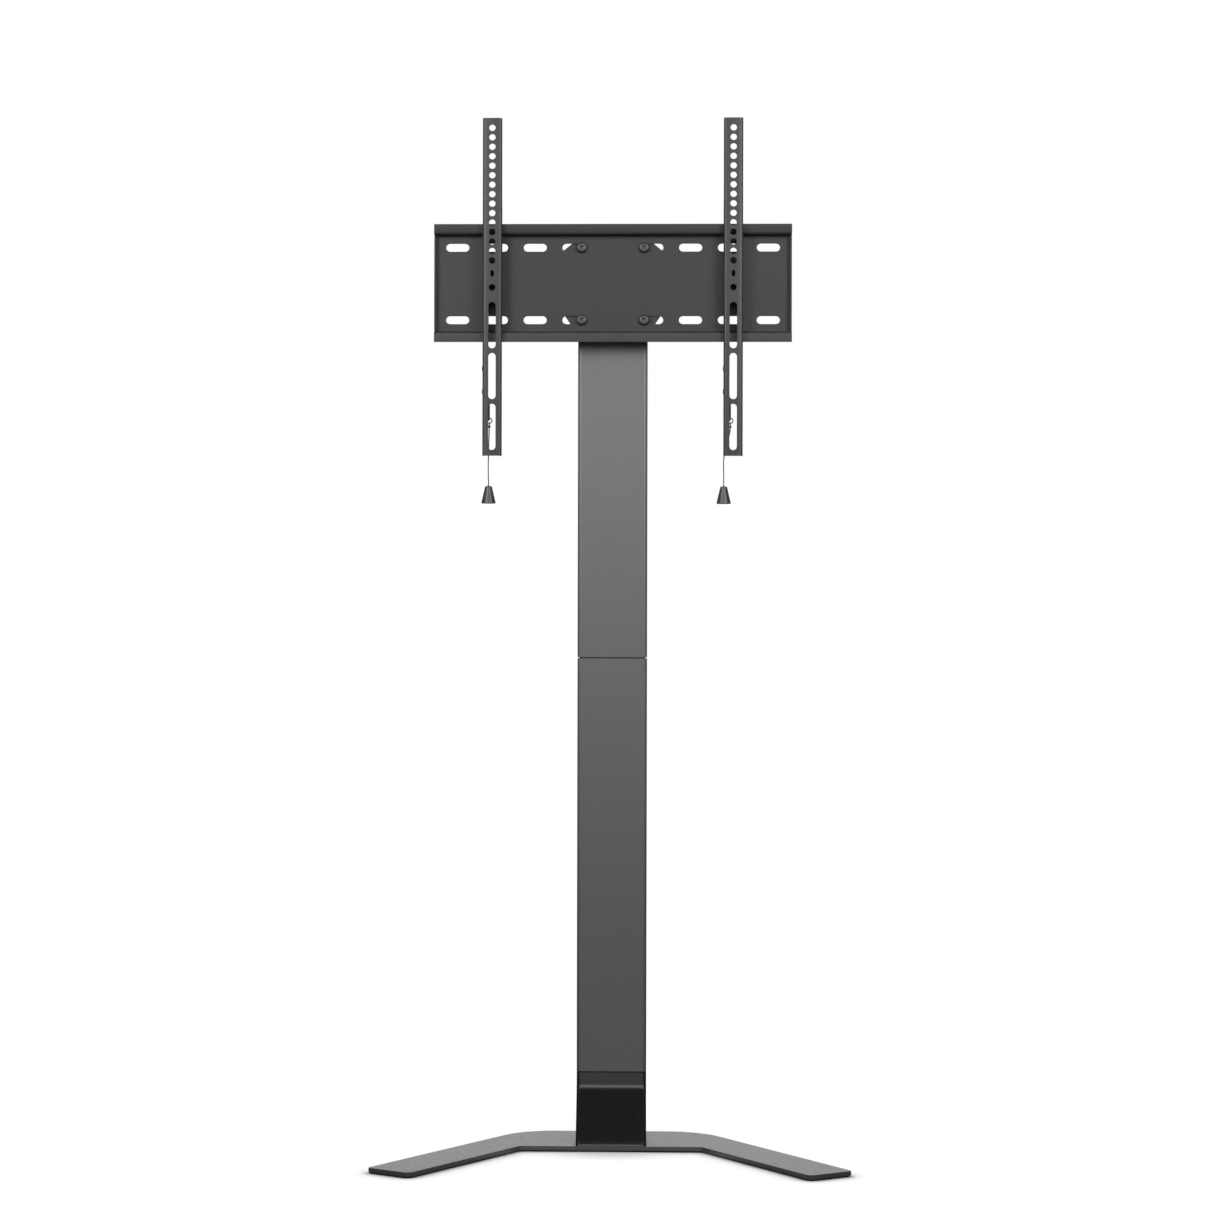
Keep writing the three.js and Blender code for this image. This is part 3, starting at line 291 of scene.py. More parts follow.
def rounded_outline(corners, steps):
    """Corner i is [x, y, radius]: each is replaced by an arc that starts and ends a radius times
    the tangent of half its turn away from it."""
    places = np.array([c[:2] for c in corners], float)
    points = []
    for i, (x, y, radius) in enumerate(corners):
        here = places[i]
        came = here - places[i - 1]
        goes = places[(i + 1) % len(places)] - here
        came, goes = came / np.linalg.norm(came), goes / np.linalg.norm(goes)
        bend = math.atan2(came[0] * goes[1] - came[1] * goes[0], came @ goes)
        hand = math.copysign(1, bend)
        start = here - came * radius * math.tan(abs(bend) / 2)
        across = np.array([came[1], -came[0]]) * hand
        centre = start - across * radius
        swing = bend * np.linspace(0, 1, steps + 1)
        turned = np.stack(
            [
                across[0] * np.cos(swing) - across[1] * np.sin(swing),
                across[0] * np.sin(swing) + across[1] * np.cos(swing),
            ],
            1,
        )
        points.append(centre + turned * radius)
    return np.concatenate(points)


def inset(outline, distance):
    """Moves each point of a closed outline inwards along the mean of its two sides' normals."""
    came = outline - np.roll(outline, 1, 0)
    goes = np.roll(outline, -1, 0) - outline
    came = came / np.linalg.norm(came, axis=1, keepdims=True)
    goes = goes / np.linalg.norm(goes, axis=1, keepdims=True)
    inward = np.stack([-(came[:, 1] + goes[:, 1]), came[:, 0] + goes[:, 0]], 1)
    inward /= np.sum(inward * np.stack([-came[:, 1], came[:, 0]], 1), 1, keepdims=True)
    return outline + inward * distance


def quads(rings, around):
    """Faces between successive rings of equally many points."""
    here = np.arange(around)
    near = (np.arange(rings - 1)[:, None] * around + here).ravel()
    beside = (np.arange(rings - 1)[:, None] * around + (here + 1) % around).ravel()
    return np.stack([near, beside, beside + around, near + around], 1)


def new_piece(name, points, faces, material, smooth_angle=35):
    """A mesh object at the origin whose edges stay sharp only above an angle."""
    mesh = bpy.data.meshes.new(name)
    mesh.from_pydata(np.asarray(points).tolist(), [], [list(map(int, f)) for f in faces])
    mesh.validate()
    mesh.materials.append(material)
    made = bpy.data.objects.new(name, mesh)
    bpy.context.collection.objects.link(made)
    mesh.polygons.foreach_set("use_smooth", np.ones(len(mesh.polygons), bool))
    mesh.set_sharp_from_angle(angle=math.radians(smooth_angle))
    return made


def looped(rings, around):
    """Faces between successive rings and from the last ring back to the first."""
    index = np.arange(rings * around).reshape(rings, around)
    last, first = index[-1], index[0]
    back = np.stack([last, np.roll(last, -1), np.roll(first, -1), first], 1)
    return [*quads(rings, around).tolist(), *back.tolist()]


def weighted(made):
    """Lets the large faces govern the normals, so flat sides stay flat up to their rounded rims."""
    normals = made.modifiers.new("normals", "WEIGHTED_NORMAL")
    normals.keep_sharp = True
    normals.weight = FACE_WEIGHT
    return made


def plate_body(outline, holes, low, high, edge):
    """A flat plate: its side is an outline carried up from low to high, drawn in at both ends by
    edge * (1 - sin a) where it has risen by edge * (1 - cos a). A hole is its centre and its rings,
    each a radius and a height."""
    drawn_in = edge * (1 - np.sin(QUARTER))
    rise = edge * (1 - np.cos(QUARTER))
    levels = [(d, low + r) for d, r in zip(drawn_in, rise)]
    levels += [(d, high - r) for d, r in zip(drawn_in[::-1], rise[::-1])]
    rings = [np.column_stack([inset(outline, d), np.full(len(outline), z)]) for d, z in levels]
    points = [*rings]
    faces = [*quads(len(rings), len(outline)).tolist()]
    count = len(outline) * len(rings)
    lowest, highest = [rings[0]], [rings[-1]]
    low_index, high_index = [np.arange(len(outline))], [np.arange(count - len(outline), count)]
    angle = np.linspace(0, 2 * math.pi, BORE_SIDES, endpoint=False)
    for (x, y), steps in holes:
        bore = [
            np.column_stack([x + r * np.cos(angle), y + r * np.sin(angle), np.full(BORE_SIDES, z)])
            for r, z in steps
        ]
        faces += (quads(len(bore), BORE_SIDES)[:, ::-1] + count).tolist()
        points += bore
        lowest.append(bore[0])
        highest.append(bore[-1])
        low_index.append(np.arange(BORE_SIDES) + count)
        high_index.append(np.arange(BORE_SIDES) + count + (len(bore) - 1) * BORE_SIDES)
        count += BORE_SIDES * len(bore)
    for loops, index, upward in ((lowest, low_index, False), (highest, high_index, True)):
        index = np.concatenate(index)
        flat = np.concatenate(loops)
        for triangle in tessellate_polygon([[Vector(p) for p in loop] for loop in loops]):
            a, b, c = triangle
            spin = np.cross(flat[b] - flat[a], flat[c] - flat[a])[2]
            faces.append([index[k] for k in ((a, b, c) if (spin > 0) == upward else (a, c, b))])
    return np.concatenate(points), faces


forward = np.array([math.cos(LEG_ANGLE), -math.sin(LEG_ANGLE)])
across = np.array([math.sin(LEG_ANGLE), math.cos(LEG_ANGLE)])
inner_tip = np.array([BEND_X, bar_front]) + forward * LEG_LENGTH
outer_tip = inner_tip + across * LEG_WIDTH
outer_x = BEND_X + (LEG_WIDTH - BAR_DEPTH * math.cos(LEG_ANGLE)) / math.sin(LEG_ANGLE)
leg = [
    (BEND_X, bar_front, INNER_BEND),
    (*inner_tip, TIP_FRONT),
    (*outer_tip, TIP_END),
    (outer_x, bar_back, OUTER_BEND),
]
outline = rounded_outline(leg + [(-x, y, r) for x, y, r in reversed(leg)], BEND_STEPS)
bolt_holes = []
for i in range(1, 5):
    low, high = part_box(f"base_bolt_{i}")
    middle = (low + high) / 2
    sink = (high.x - low.x) / 2 + SINK_GAP
    steps = [(sink, base_low.z), (BORE_RADIUS, base_low.z + SINK_DEPTH), (BORE_RADIUS, base_high.z)]
    bolt_holes.append(((middle.x, middle.y), steps))
base_coat = powder_coat("base_coat", BASE_GREY, roughness=0.3, grain=0.0018, depth=0.0004, fleck=0.5)
body = plate_body(outline, bolt_holes, base_low.z, base_high.z, BASE_EDGE)
base = weighted(new_piece("foot_plate", *body, base_coat))
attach(base, "stand")
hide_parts("base_plate")


# Pads: six round rubber pads glued under the plate, along the bar and near the ends of the legs.
# Each lower edge is moulded round, given as insets from the rim at heights.
PAD_ROUND = ((0.0012, 0), (0.0005, 0.0001), (0.0001, 0.0005), (0, 0.0009))
MERGE_DISTANCE = 1e-6
SMEAR_SCALE, SMEAR_SPREAD = 60.0, 0.1
HEXAGON = math.pi / 3


def turned(profile, at=(0, 0, 0), facing="+Z", sides=36, closed=False):
    """Revolves rows of radius, height and share of six-sidedness about an axis through a point. The
    six-sided radius is radius * cos 30 / cos(a mod 60 - 30); a radius of zero closes the form."""
    profile = np.array([(*row, 0)[:3] for row in profile], float)
    angle = np.linspace(0, 2 * math.pi, sides, endpoint=False)
    flat = math.cos(HEXAGON / 2) / np.cos(angle % HEXAGON - HEXAGON / 2)
    radius = profile[:, :1] * (1 + profile[:, 2:] * (flat - 1))
    height = np.repeat(profile[:, 1:2], sides, 1)
    points = np.stack([radius * np.cos(angle), radius * np.sin(angle), height], 2).reshape(-1, 3)
    frames = {
        "+Z": ((1, 0, 0), (0, 1, 0), (0, 0, 1)),
        "-Y": ((1, 0, 0), (0, 0, 1), (0, -1, 0)),
        "+Y": ((-1, 0, 0), (0, 0, 1), (0, 1, 0)),
        "+X": ((0, 1, 0), (0, 0, 1), (1, 0, 0)),
    }
    points = points @ np.array(frames[facing], float) + np.asarray(at, float)
    return points, looped(len(profile), sides) if closed else quads(len(profile), sides).tolist()


def merged(name, parts, material, smooth_angle=35):
    """Several (points, faces) as one piece, its doubles and thin faces merged away."""
    points, faces, count = [], [], 0
    for some_points, some_faces in parts:
        points.append(np.asarray(some_points, float))
        faces += [[int(k) + count for k in face] for face in some_faces]
        count += len(some_points)
    made = new_piece(name, np.concatenate(points), faces, material, smooth_angle)
    work = bmesh.new()
    work.from_mesh(made.data)
    bmesh.ops.remove_doubles(work, verts=work.verts, dist=MERGE_DISTANCE)
    work.to_mesh(made.data)
    work.free()
    return made


def moulding(name, color, roughness, grain, depth):
    """Moulded rubber or plastic with a faint spark-eroded grain of a size and depth in metres."""
    made = bpy.data.materials.new(name)
    tree = new_tree(made)
    at = node(tree, "ShaderNodeTexCoord", output="Object")
    fine = node(tree, "ShaderNodeTexNoise", {}, {"Vector": at, "Scale": 1 / grain, "Detail": 3.0})
    smear = node(tree, "ShaderNodeTexNoise", {}, {"Vector": at, "Scale": SMEAR_SCALE, "Detail": 2.0})
    finish(tree, color, roughness - SMEAR_SPREAD / 2 + smear * SMEAR_SPREAD, fine, depth)
    return made


PAD_BLACK = (0.018, 0.018, 0.018, 1)
pad_rubber = moulding("pad_rubber", PAD_BLACK, roughness=0.8, grain=0.0006, depth=0.0001)
for i in range(1, 7):
    low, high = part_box(f"base_pad_{i}")
    middle = (low + high) / 2
    radius, deep = (high.x - low.x) / 2, high.z - low.z
    profile = [(0, 0), *((radius - inwards, up) for inwards, up in PAD_ROUND), (radius, deep), (0, deep)]
    pad = merged(f"foot_pad_{i}", [turned(profile, (middle.x, middle.y, low.z))], pad_rubber)
    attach(pad, "stand")
    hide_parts(f"base_pad_{i}")


# Bolts under the plate: countersunk socket heads in black oxide, which draw the foot's flange
# down on the plate. The solids carry their hexagon sockets, so they only take the finish.
BLOT_SCALE, BLOT_SPREAD, MARK_DEPTH = 180.0, 0.16, 0.00002
PLAIN_TONE, MARK_TONE, BLOT_TONE = 0.8, 0.18, 0.22


def steel(name, color, roughness, grain, metallic=1.0, stretch=(1, 1, 1)):
    """Plated or blackened steel: cloudy roughness and fine marks, drawn out along one axis."""
    made = bpy.data.materials.new(name)
    tree = new_tree(made)
    at = node(tree, "ShaderNodeTexCoord", output="Object")
    drawn = node(tree, "ShaderNodeVectorMath", {"operation": "MULTIPLY"}, {0: at, 1: stretch})
    marks = node(tree, "ShaderNodeTexNoise", {}, {"Vector": drawn, "Scale": 1 / grain, "Detail": 3.0})
    blots = node(tree, "ShaderNodeTexNoise", {}, {"Vector": at, "Scale": BLOT_SCALE, "Detail": 2.0})
    tint = toned(tree, color, marks * MARK_TONE + blots * BLOT_TONE + PLAIN_TONE)
    rough = roughness - BLOT_SPREAD / 2 + blots * BLOT_SPREAD
    finish(tree, tint, rough, marks, MARK_DEPTH, {"Metallic": metallic})
    return made


def paint_nodes(material, *names):
    """Gives carried-over solids a material through their own slots."""
    for name in names:
        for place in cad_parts[name].material_slots:
            place.material = material


OXIDE_BLACK = (0.045, 0.045, 0.047, 1)
black_oxide = steel("black_oxide", OXIDE_BLACK, roughness=0.42, grain=0.0004, metallic=0.7)
paint_nodes(black_oxide, *[f"base_bolt_{i}" for i in range(1, 5)])


# Foot shoe: a folded and welded sheet steel shell, satin black. Its collar is as wide as the
# tubes, and below it the front sweeps forward to a toe near the edge of the bar.
SHOE_BLACK = (0.005, 0.005, 0.0052, 1)
COLLAR_HEIGHT, SWEEP_EASE, TOE_INSET, TOE_LIP = 0.0142, 0.0095, 0.0015, 0.0024
SIDE_FLARE, BACK_FLARE, TUBE_CORNER, SHOE_WALL, SHOE_EDGE = 0.0002, 0.004, 0.005, 0.002, 0.0001
RING_ABOVE_SWEEP, RING_BELOW_EDGE = 0.004, 0.0004
SLOPE_STEPS, EASE_STEPS, SHOE_CORNER_STEPS = 12, 9, 8


def rounded_rectangle(low, high, radius, steps):
    """The four corners of a box in plan, each turned through an arc."""
    (x0, y0), (x1, y1) = low, high
    return rounded_outline([(x0, y0, radius), (x1, y0, radius), (x1, y1, radius), (x0, y1, radius)], steps)


shoe_low, shoe_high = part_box("foot_shoe")
tube_low, tube_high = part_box("lower_tube")
shoe_height = shoe_high.z - shoe_low.z
sweep_height = shoe_height - COLLAR_HEIGHT
sweep_run = sweep_height - TOE_LIP
sweep_reach = tube_low.y - (bar_front + TOE_INSET)


def shoe_ring(height, drawn_in):
    """The shell's section at a height: above an upright lip the front stands out by slope * (depth
    below the collar, eased by its square over the first stretch), and the back flares with the square."""
    below = min(max(0.0, sweep_height - height), sweep_run)
    slope = sweep_reach / (sweep_run - SWEEP_EASE / 2)
    eased = below * below / (2 * SWEEP_EASE) if below < SWEEP_EASE else below - SWEEP_EASE / 2
    out = slope * eased
    fall = (max(0.0, sweep_height - height) / sweep_height) ** 2
    half = (tube_high.x - tube_low.x) / 2 + SIDE_FLARE * fall - drawn_in
    front = tube_low.y - out + drawn_in
    back = tube_high.y + BACK_FLARE * fall - drawn_in
    plan = rounded_rectangle((-half, front), (half, back), TUBE_CORNER - drawn_in, SHOE_CORNER_STEPS)
    return np.column_stack([plan, np.full(len(plan), shoe_low.z + height)])


sloping = np.linspace(TOE_LIP, sweep_height - SWEEP_EASE, SLOPE_STEPS)
easing = np.linspace(sweep_height - SWEEP_EASE, sweep_height, EASE_STEPS)[1:]
rim_foot = shoe_height - SHOE_EDGE - RING_BELOW_EDGE
heights = [0, *sloping, *easing, sweep_height + RING_ABOVE_SWEEP, rim_foot]
rings = [shoe_ring(height, 0) for height in heights]
for angle in QUARTER:
    rings.append(
        shoe_ring(shoe_height - SHOE_EDGE * (1 - math.sin(angle)), SHOE_EDGE * (1 - math.cos(angle)))
    )
rings += [shoe_ring(height, SHOE_WALL) for height in [shoe_height, *heights[::-1]]]
shoe_coat = powder_coat("shoe_coat", SHOE_BLACK, roughness=0.3, grain=0.0006, depth=0.00001, fleck=0.10)
body = np.concatenate(rings), looped(len(rings), len(rings[0]))
shoe = weighted(new_piece("shoe_shell", *body, shoe_coat, smooth_angle=40))
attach(shoe, "stand")
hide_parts("foot_shoe")


# Foot spigot: a square zinc plated steel tube welded on a flange, hidden in the shoe and the lower
# tube, coloured near-black as painted shade for the seam at the foot. Two button screws in the back
# of the tube hold it.
# Painted shade: near-black in place of the zinc, so the seams in front of it read dark.
SEAM_SHADE_BLACK = (0.02, 0.02, 0.021, 1)
seam_shade_zinc = steel("seam_shade_zinc", SEAM_SHADE_BLACK, roughness=0.5, grain=0.0005, metallic=0.5)
paint_nodes(seam_shade_zinc, "foot_spigot")


# Column: two drawn steel tubes, 92 by 40, end to end on an inner sleeve of zinc plated steel. They
# have a satin grey coat, and narrow dark seams where they meet each other and the foot: real gaps,
# with the sleeve and spigot behind them coloured near-black as painted shade.
COLUMN_GREY = (0.084, 0.0845, 0.085, 1)
TUBE_WALL, TUBE_EDGE, TUBE_CORNER_STEPS = 0.002, 0.0001, 10
# The gap is real; the dark inside it is partly painted shade on the sleeve and spigot behind.
SEAM_RELIEF = 0.0009  # cut back from the lower end of a tube, which makes the seam's dark line
column_coat = powder_coat(
    "column_coat", COLUMN_GREY, roughness=0.42, grain=0.0006, depth=0.00005, fleck=0.08
)


def tube_body(low, high, corner, wall, edge, relief=0.0):
    """A tube: its outer and inner outlines carried up, joined over rims rounded by the edge. A relief
    lifts the lower rim from the box."""
    foot = low.z + relief
    walk = [(edge * (1 - math.cos(a)), foot + edge * (1 - math.sin(a))) for a in QUARTER[::-1]]
    walk += [(edge * (1 - math.cos(a)), high.z - edge * (1 - math.sin(a))) for a in QUARTER]
    walk += [(wall, high.z), (wall, foot)]
    rings = []
    for drawn_in, z in walk:
        near, far = (low.x + drawn_in, low.y + drawn_in), (high.x - drawn_in, high.y - drawn_in)
        plan = rounded_rectangle(near, far, corner - drawn_in, TUBE_CORNER_STEPS)
        rings.append(np.column_stack([plan, np.full(len(plan), z)]))
    return np.concatenate(rings), looped(len(rings), len(rings[0]))


for name, node_name in (("column_lower", "lower_tube"), ("column_upper", "upper_tube")):
    body = tube_body(*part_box(node_name), TUBE_CORNER, TUBE_WALL, TUBE_EDGE, SEAM_RELIEF)
    tube = weighted(new_piece(name, *body, column_coat))
    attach(tube, "stand")
    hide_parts(node_name)
# The sleeve takes the same near-black, painted shade for the seam between the tubes.
paint_nodes(seam_shade_zinc, "tube_joiner")


# Top cap: moulded black plastic, a lid on the rim of the upper tube with a hollow plug that is
# pressed into it.
CAP_BLACK = (0.022, 0.022, 0.023, 1)
CAP_EDGE, CAP_LID, PLUG_GAP, PLUG_WALL = 0.0008, 0.003, 0.0005, 0.0022
cap_plastic = moulding("cap_plastic", CAP_BLACK, roughness=0.42, grain=0.0008, depth=0.00006)
cap_low, cap_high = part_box("top_cap")
lid_outline = rounded_rectangle(cap_low[:2], cap_high[:2], TUBE_CORNER, TUBE_CORNER_STEPS)
lid = plate_body(lid_outline, [], cap_high.z - CAP_LID, cap_high.z, CAP_EDGE)
inwards = TUBE_WALL + PLUG_GAP
plug_low = cap_low + Vector((inwards, inwards, 0))
plug_high = cap_high - Vector((inwards, inwards, CAP_LID))
plug = tube_body(plug_low, plug_high, TUBE_CORNER - inwards, PLUG_WALL, CAP_EDGE / 2)
cap = weighted(merged("column_cap", [lid, plug], cap_plastic))
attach(cap, "stand")
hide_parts("top_cap")


# Screws of the column: black button heads with six-sided sockets in the backs of the tubes, two
# for the spigot and four for the sleeve. Each shank ends in a chamfer, each socket in a cone.
DOME_ARC = np.radians([0, 20, 40, 60, 80, 90])
SHANK_CHAMFER, HEAD_FOOT = 0.0004, 0.0002
SOCKET_RIM, SOCKET_EASE, SOCKET_BLEND, SOCKET_EDGE, SOCKET_CONE = 0.0005, 0.0001, 0.6, 0.0003, 0.0004


def screw(radius, reach, head, high, dome, key, deep):
    """The half profile of a socket screw whose head stands on height zero: up the shank, round
    the domed head by a quarter ellipse, and down a six-sided socket."""
    return [
        (0, -reach),
        (radius - SHANK_CHAMFER, -reach),
        (radius, SHANK_CHAMFER - reach),
        (radius, 0),
        (head - HEAD_FOOT, 0),
        (head, HEAD_FOOT),
        *((head - dome * (1 - math.cos(a)), high - dome * (1 - math.sin(a))) for a in DOME_ARC),
        (key + SOCKET_RIM, high),
        (key + SOCKET_EASE, high, SOCKET_BLEND),
        (key, high - SOCKET_EDGE, 1),
        (key, high - deep, 1),
        (0, high - deep - SOCKET_CONE),
    ]


def add_screw(name, node_name, body, seat, facing, **sizes):
    """A black screw in place of a CAD one, its head standing on the seat and facing forward or back."""
    low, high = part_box(node_name)
    middle = (low + high) / 2
    tall, reach = (high.y - seat, seat - low.y) if facing == "+Y" else (seat - low.y, high.y - seat)
    rows = screw(**{"reach": reach, "head": (high.x - low.x) / 2, "high": tall, **sizes})
    made = merged(name, [turned(rows, (middle.x, seat, middle.z), facing)], black_oxide)
    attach(made, body)
    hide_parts(node_name)


TUBE_SCREW = {"radius": 0.0025, "reach": 0.0068, "dome": 0.0012, "key": 0.0016, "deep": 0.0014}
for group, count in (("foot_screw", 2), ("joiner_screw", 4)):
    for i in range(1, count + 1):
        add_screw(f"{group}_head_{i}", f"{group}_{i}", "stand", tube_high.y, "+Y", **TUBE_SCREW)


# Head bracket: 3 mm sheet. A folded channel hugs the column, and a pan stands off its front on
# two returns; a strap behind closes it with four socket screws, which let it slide and clamp.
# One powder coat in two greys: the darker one on the channel, strap and plate is painted shade, and the
# lighter one on the arms and latches is painted light.
MOUNT_SHADED_GREY = (0.0145, 0.0147, 0.015, 1)
ARM_LIT_GREY = (0.024, 0.0243, 0.0247, 1)
MOUNT_IOR = 1.36
MOUNT_FINISH = {"roughness": 0.43, "grain": 0.0006, "depth": 0.00005, "fleck": 0.08, "ior": MOUNT_IOR}
CAD_WELD, FLAT_ANGLE, FOLD_ANGLE, EDGE_SEGMENTS = 2e-6, math.radians(1), math.radians(40), 2
mount_shaded_coat = powder_coat("mount_shaded_coat", MOUNT_SHADED_GREY, **MOUNT_FINISH)
arm_lit_coat = powder_coat("arm_lit_coat", ARM_LIT_GREY, **MOUNT_FINISH)


def refined(name, node_name, material, bevel, body):
    """A CAD solid's copy with its triangles joined into flat faces and its edges rubbed round."""
    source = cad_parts[node_name].data
    points = np.empty(len(source.vertices) * 3)
    source.vertices.foreach_get("co", points)
    corners = np.empty(len(source.loops), int)
    source.loops.foreach_get("vertex_index", corners)
    made = new_piece(name, points.reshape(-1, 3), corners.reshape(-1, 3).tolist(), material)
    work = bmesh.new()
    work.from_mesh(made.data)
    bmesh.ops.remove_doubles(work, verts=work.verts, dist=CAD_WELD)
    bmesh.ops.dissolve_limit(work, angle_limit=FLAT_ANGLE, verts=work.verts, edges=work.edges)
    work.to_mesh(made.data)
    work.free()
    made.data.polygons.foreach_set("use_smooth", np.ones(len(made.data.polygons), bool))
    edge = made.modifiers.new("edge", "BEVEL")
    edge.width, edge.segments, edge.limit_method = bevel, EDGE_SEGMENTS, "ANGLE"
    edge.angle_limit = FOLD_ANGLE
    edge.harden_normals = True
    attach(made, body)
    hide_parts(node_name)


SHEET_EDGE = 0.0003
refined("bracket_channel", "head_bracket", mount_shaded_coat, SHEET_EDGE, "head")
refined("bracket_strap", "clamp_strap", mount_shaded_coat, SHEET_EDGE, "head")
CLAMP_SCREW = {"radius": 0.004, "dome": 0.0009, "key": 0.0029, "deep": 0.003}
strap_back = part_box("clamp_strap")[1].y
for i in range(1, 5):
    add_screw(f"clamp_screw_{i}", f"clamp_bolt_{i}", "head", strap_back, "+Y", **CLAMP_SCREW)


# Clamp nuts: bright zinc plated hexagon nuts on the front ends of the clamp's screws.
NUT_BORE, BORE_CHAMFER, NUT_CHAMFER, NUT_SHOULDER = 0.0043, 0.0003, 0.0010, 0.0005
ZINC_BRIGHT = (0.50, 0.51, 0.52, 1)
zinc = steel("zinc_plate", ZINC_BRIGHT, roughness=0.36, grain=0.0005, stretch=(1, 1, 0.12))


def nut(half, high):
    """The closed half profile of a six-sided nut, chamfered round at both ends."""
    lower = [
        (NUT_BORE, BORE_CHAMFER),
        (NUT_BORE + BORE_CHAMFER, 0),
        (half - NUT_CHAMFER, 0),
        (half, NUT_SHOULDER, 1),
    ]
    return lower + [(out, high - up, *six_sided) for out, up, *six_sided in lower[::-1]]


def add_nut(name, node_name, facing):
    """A nut in place of a CAD one, standing on its seat and facing forward or back."""
    low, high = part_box(node_name)
    middle = (low + high) / 2
    at = (middle.x, low.y if facing == "+Y" else high.y, middle.z)
    rows = nut((high.x - low.x) / 2, high.y - low.y)
    made = merged(name, [turned(rows, at, facing, closed=True)], zinc)
    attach(made, "head")
    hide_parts(node_name)


for i in range(1, 5):
    add_nut(f"clamp_hexagon_{i}", f"clamp_nut_{i}", "-Y")


# Wall plate: one folded 2 mm sheet. Rails along its top and bottom stand forward for the arms'
# hooks, its ends are folded too, and four screws in the inner slots hold it to the pan.
refined("plate_sheet", "wall_plate", mount_shaded_coat, SHEET_EDGE, "head")
PLATE_HEAD = 0.0044
PLATE_SCREW = {"radius": 0.004, "dome": 0.0028, "key": 0.0026, "deep": 0.0026}
for i in range(1, 5):
    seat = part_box(f"plate_bolt_{i}")[0].y + PLATE_HEAD
    add_screw(f"plate_screw_{i}", f"plate_bolt_{i}", "head", seat, "-Y", **PLATE_SCREW)
    add_nut(f"plate_hexagon_{i}", f"plate_nut_{i}", "+Y")


# Mount arms: 2 mm sheet folded to a U and punched for M8 screws. Flanges hook over the top rail,
# and a lug inside holds the latch spring. Two zinc rivets hold the latch, their heads rounded by
# insets from the rim at heights.
RIVET_ROUND, RIVET_SHANK = ((0.0016, 0), (0.0007, 0.0002), (0, 0.0008), (0, 0.001)), 0.002
for hand in ("left", "right"):
    refined(f"arm_channel_{hand}", f"arm_{hand}", arm_lit_coat, SHEET_EDGE, f"arm_{hand}")
    for i in (1, 2):
        low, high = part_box(f"latch_rivet_{hand}_{i}")
        middle = (low + high) / 2
        radius, deep = (high.z - low.z) / 2, high.x - low.x
        half = [(0, 0), *((radius - inwards, up) for inwards, up in RIVET_ROUND)]
        half += [(RIVET_SHANK, RIVET_ROUND[-1][1])]
        rows = half + [(out, deep - up) for out, up in half[::-1]]
        made = merged(f"arm_rivet_{hand}_{i}", [turned(rows, (low.x, middle.y, middle.z), "+X")], zinc)
        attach(made, f"arm_{hand}")
        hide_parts(f"latch_rivet_{hand}_{i}")


# Latches: a 1.5 mm sheet slides inside each arm's left flange on two rivets and hooks up behind
# the bottom rail. A spring of bright wire, hooked through the lugs of arm and latch, lifts it.
LATCH_EDGE = 0.0002
SPRING_WIRE, SPRING_RADIUS, SPRING_TURNS, SPRING_STEPS, SPRING_SIDES = 0.0004, 0.0017, 15, 20, 8
SPRING_LEAD = 0.0038
# The hooked end: sideways and back from the coil's axis, and up from the end of the spring.
SPRING_HOOK = ((0, -0.0004, 0.0004), (0, 0.0003, 0.0012), (0.0008, 0.0002, 0.0029), (0.0015, -0.0006, 0.0035))
SPRING_BRIGHT = (0.56, 0.57, 0.58, 1)
PATH_STEPS = 2
# A bar's first side is square to its path and to a leaning line, or a lying one on a steep path.
LEANING, LYING, STEEP = (0.13, 0.31, 0.94), (0.31, 0.94, 0.13), 0.9
END_BULGE, END_STEP, END_SIZE = 0.5, 0.7, 0.6
spring_steel = steel("spring_steel", SPRING_BRIGHT, roughness=0.28, grain=0.0003)
for hand in ("left", "right"):
    refined(f"latch_sheet_{hand}", f"latch_{hand}", arm_lit_coat, LATCH_EDGE, f"latch_{hand}")


def smooth_path(points, steps):
    """A centripetal Catmull-Rom curve: each span's knots lie the square root of a chord apart, and
    the position is the usual pyramid of linear blends between them."""
    points = np.asarray(points, float)
    padded = np.vstack([2 * points[0] - points[1], points, 2 * points[-1] - points[-2]])
    knots = np.concatenate([[0], np.cumsum(np.sqrt(np.linalg.norm(np.diff(padded, axis=0), axis=1)))])
    curve = []
    for i in range(1, len(padded) - 2):
        t0, t1, t2, t3 = knots[i - 1 : i + 3]
        p0, p1, p2, p3 = padded[i - 1 : i + 3]
        t = np.linspace(t1, t2, steps, endpoint=False)[:, None]
        a1 = p0 + (p1 - p0) * (t - t0) / (t1 - t0)
        a2 = p1 + (p2 - p1) * (t - t1) / (t2 - t1)
        a3 = p2 + (p3 - p2) * (t - t2) / (t3 - t2)
        b1 = a1 + (a2 - a1) * (t - t0) / (t2 - t0)
        b2 = a2 + (a3 - a2) * (t - t1) / (t3 - t1)
        curve.append(b1 + (b2 - b1) * (t - t1) / (t2 - t1))
    return np.vstack([*curve, points[-1]])


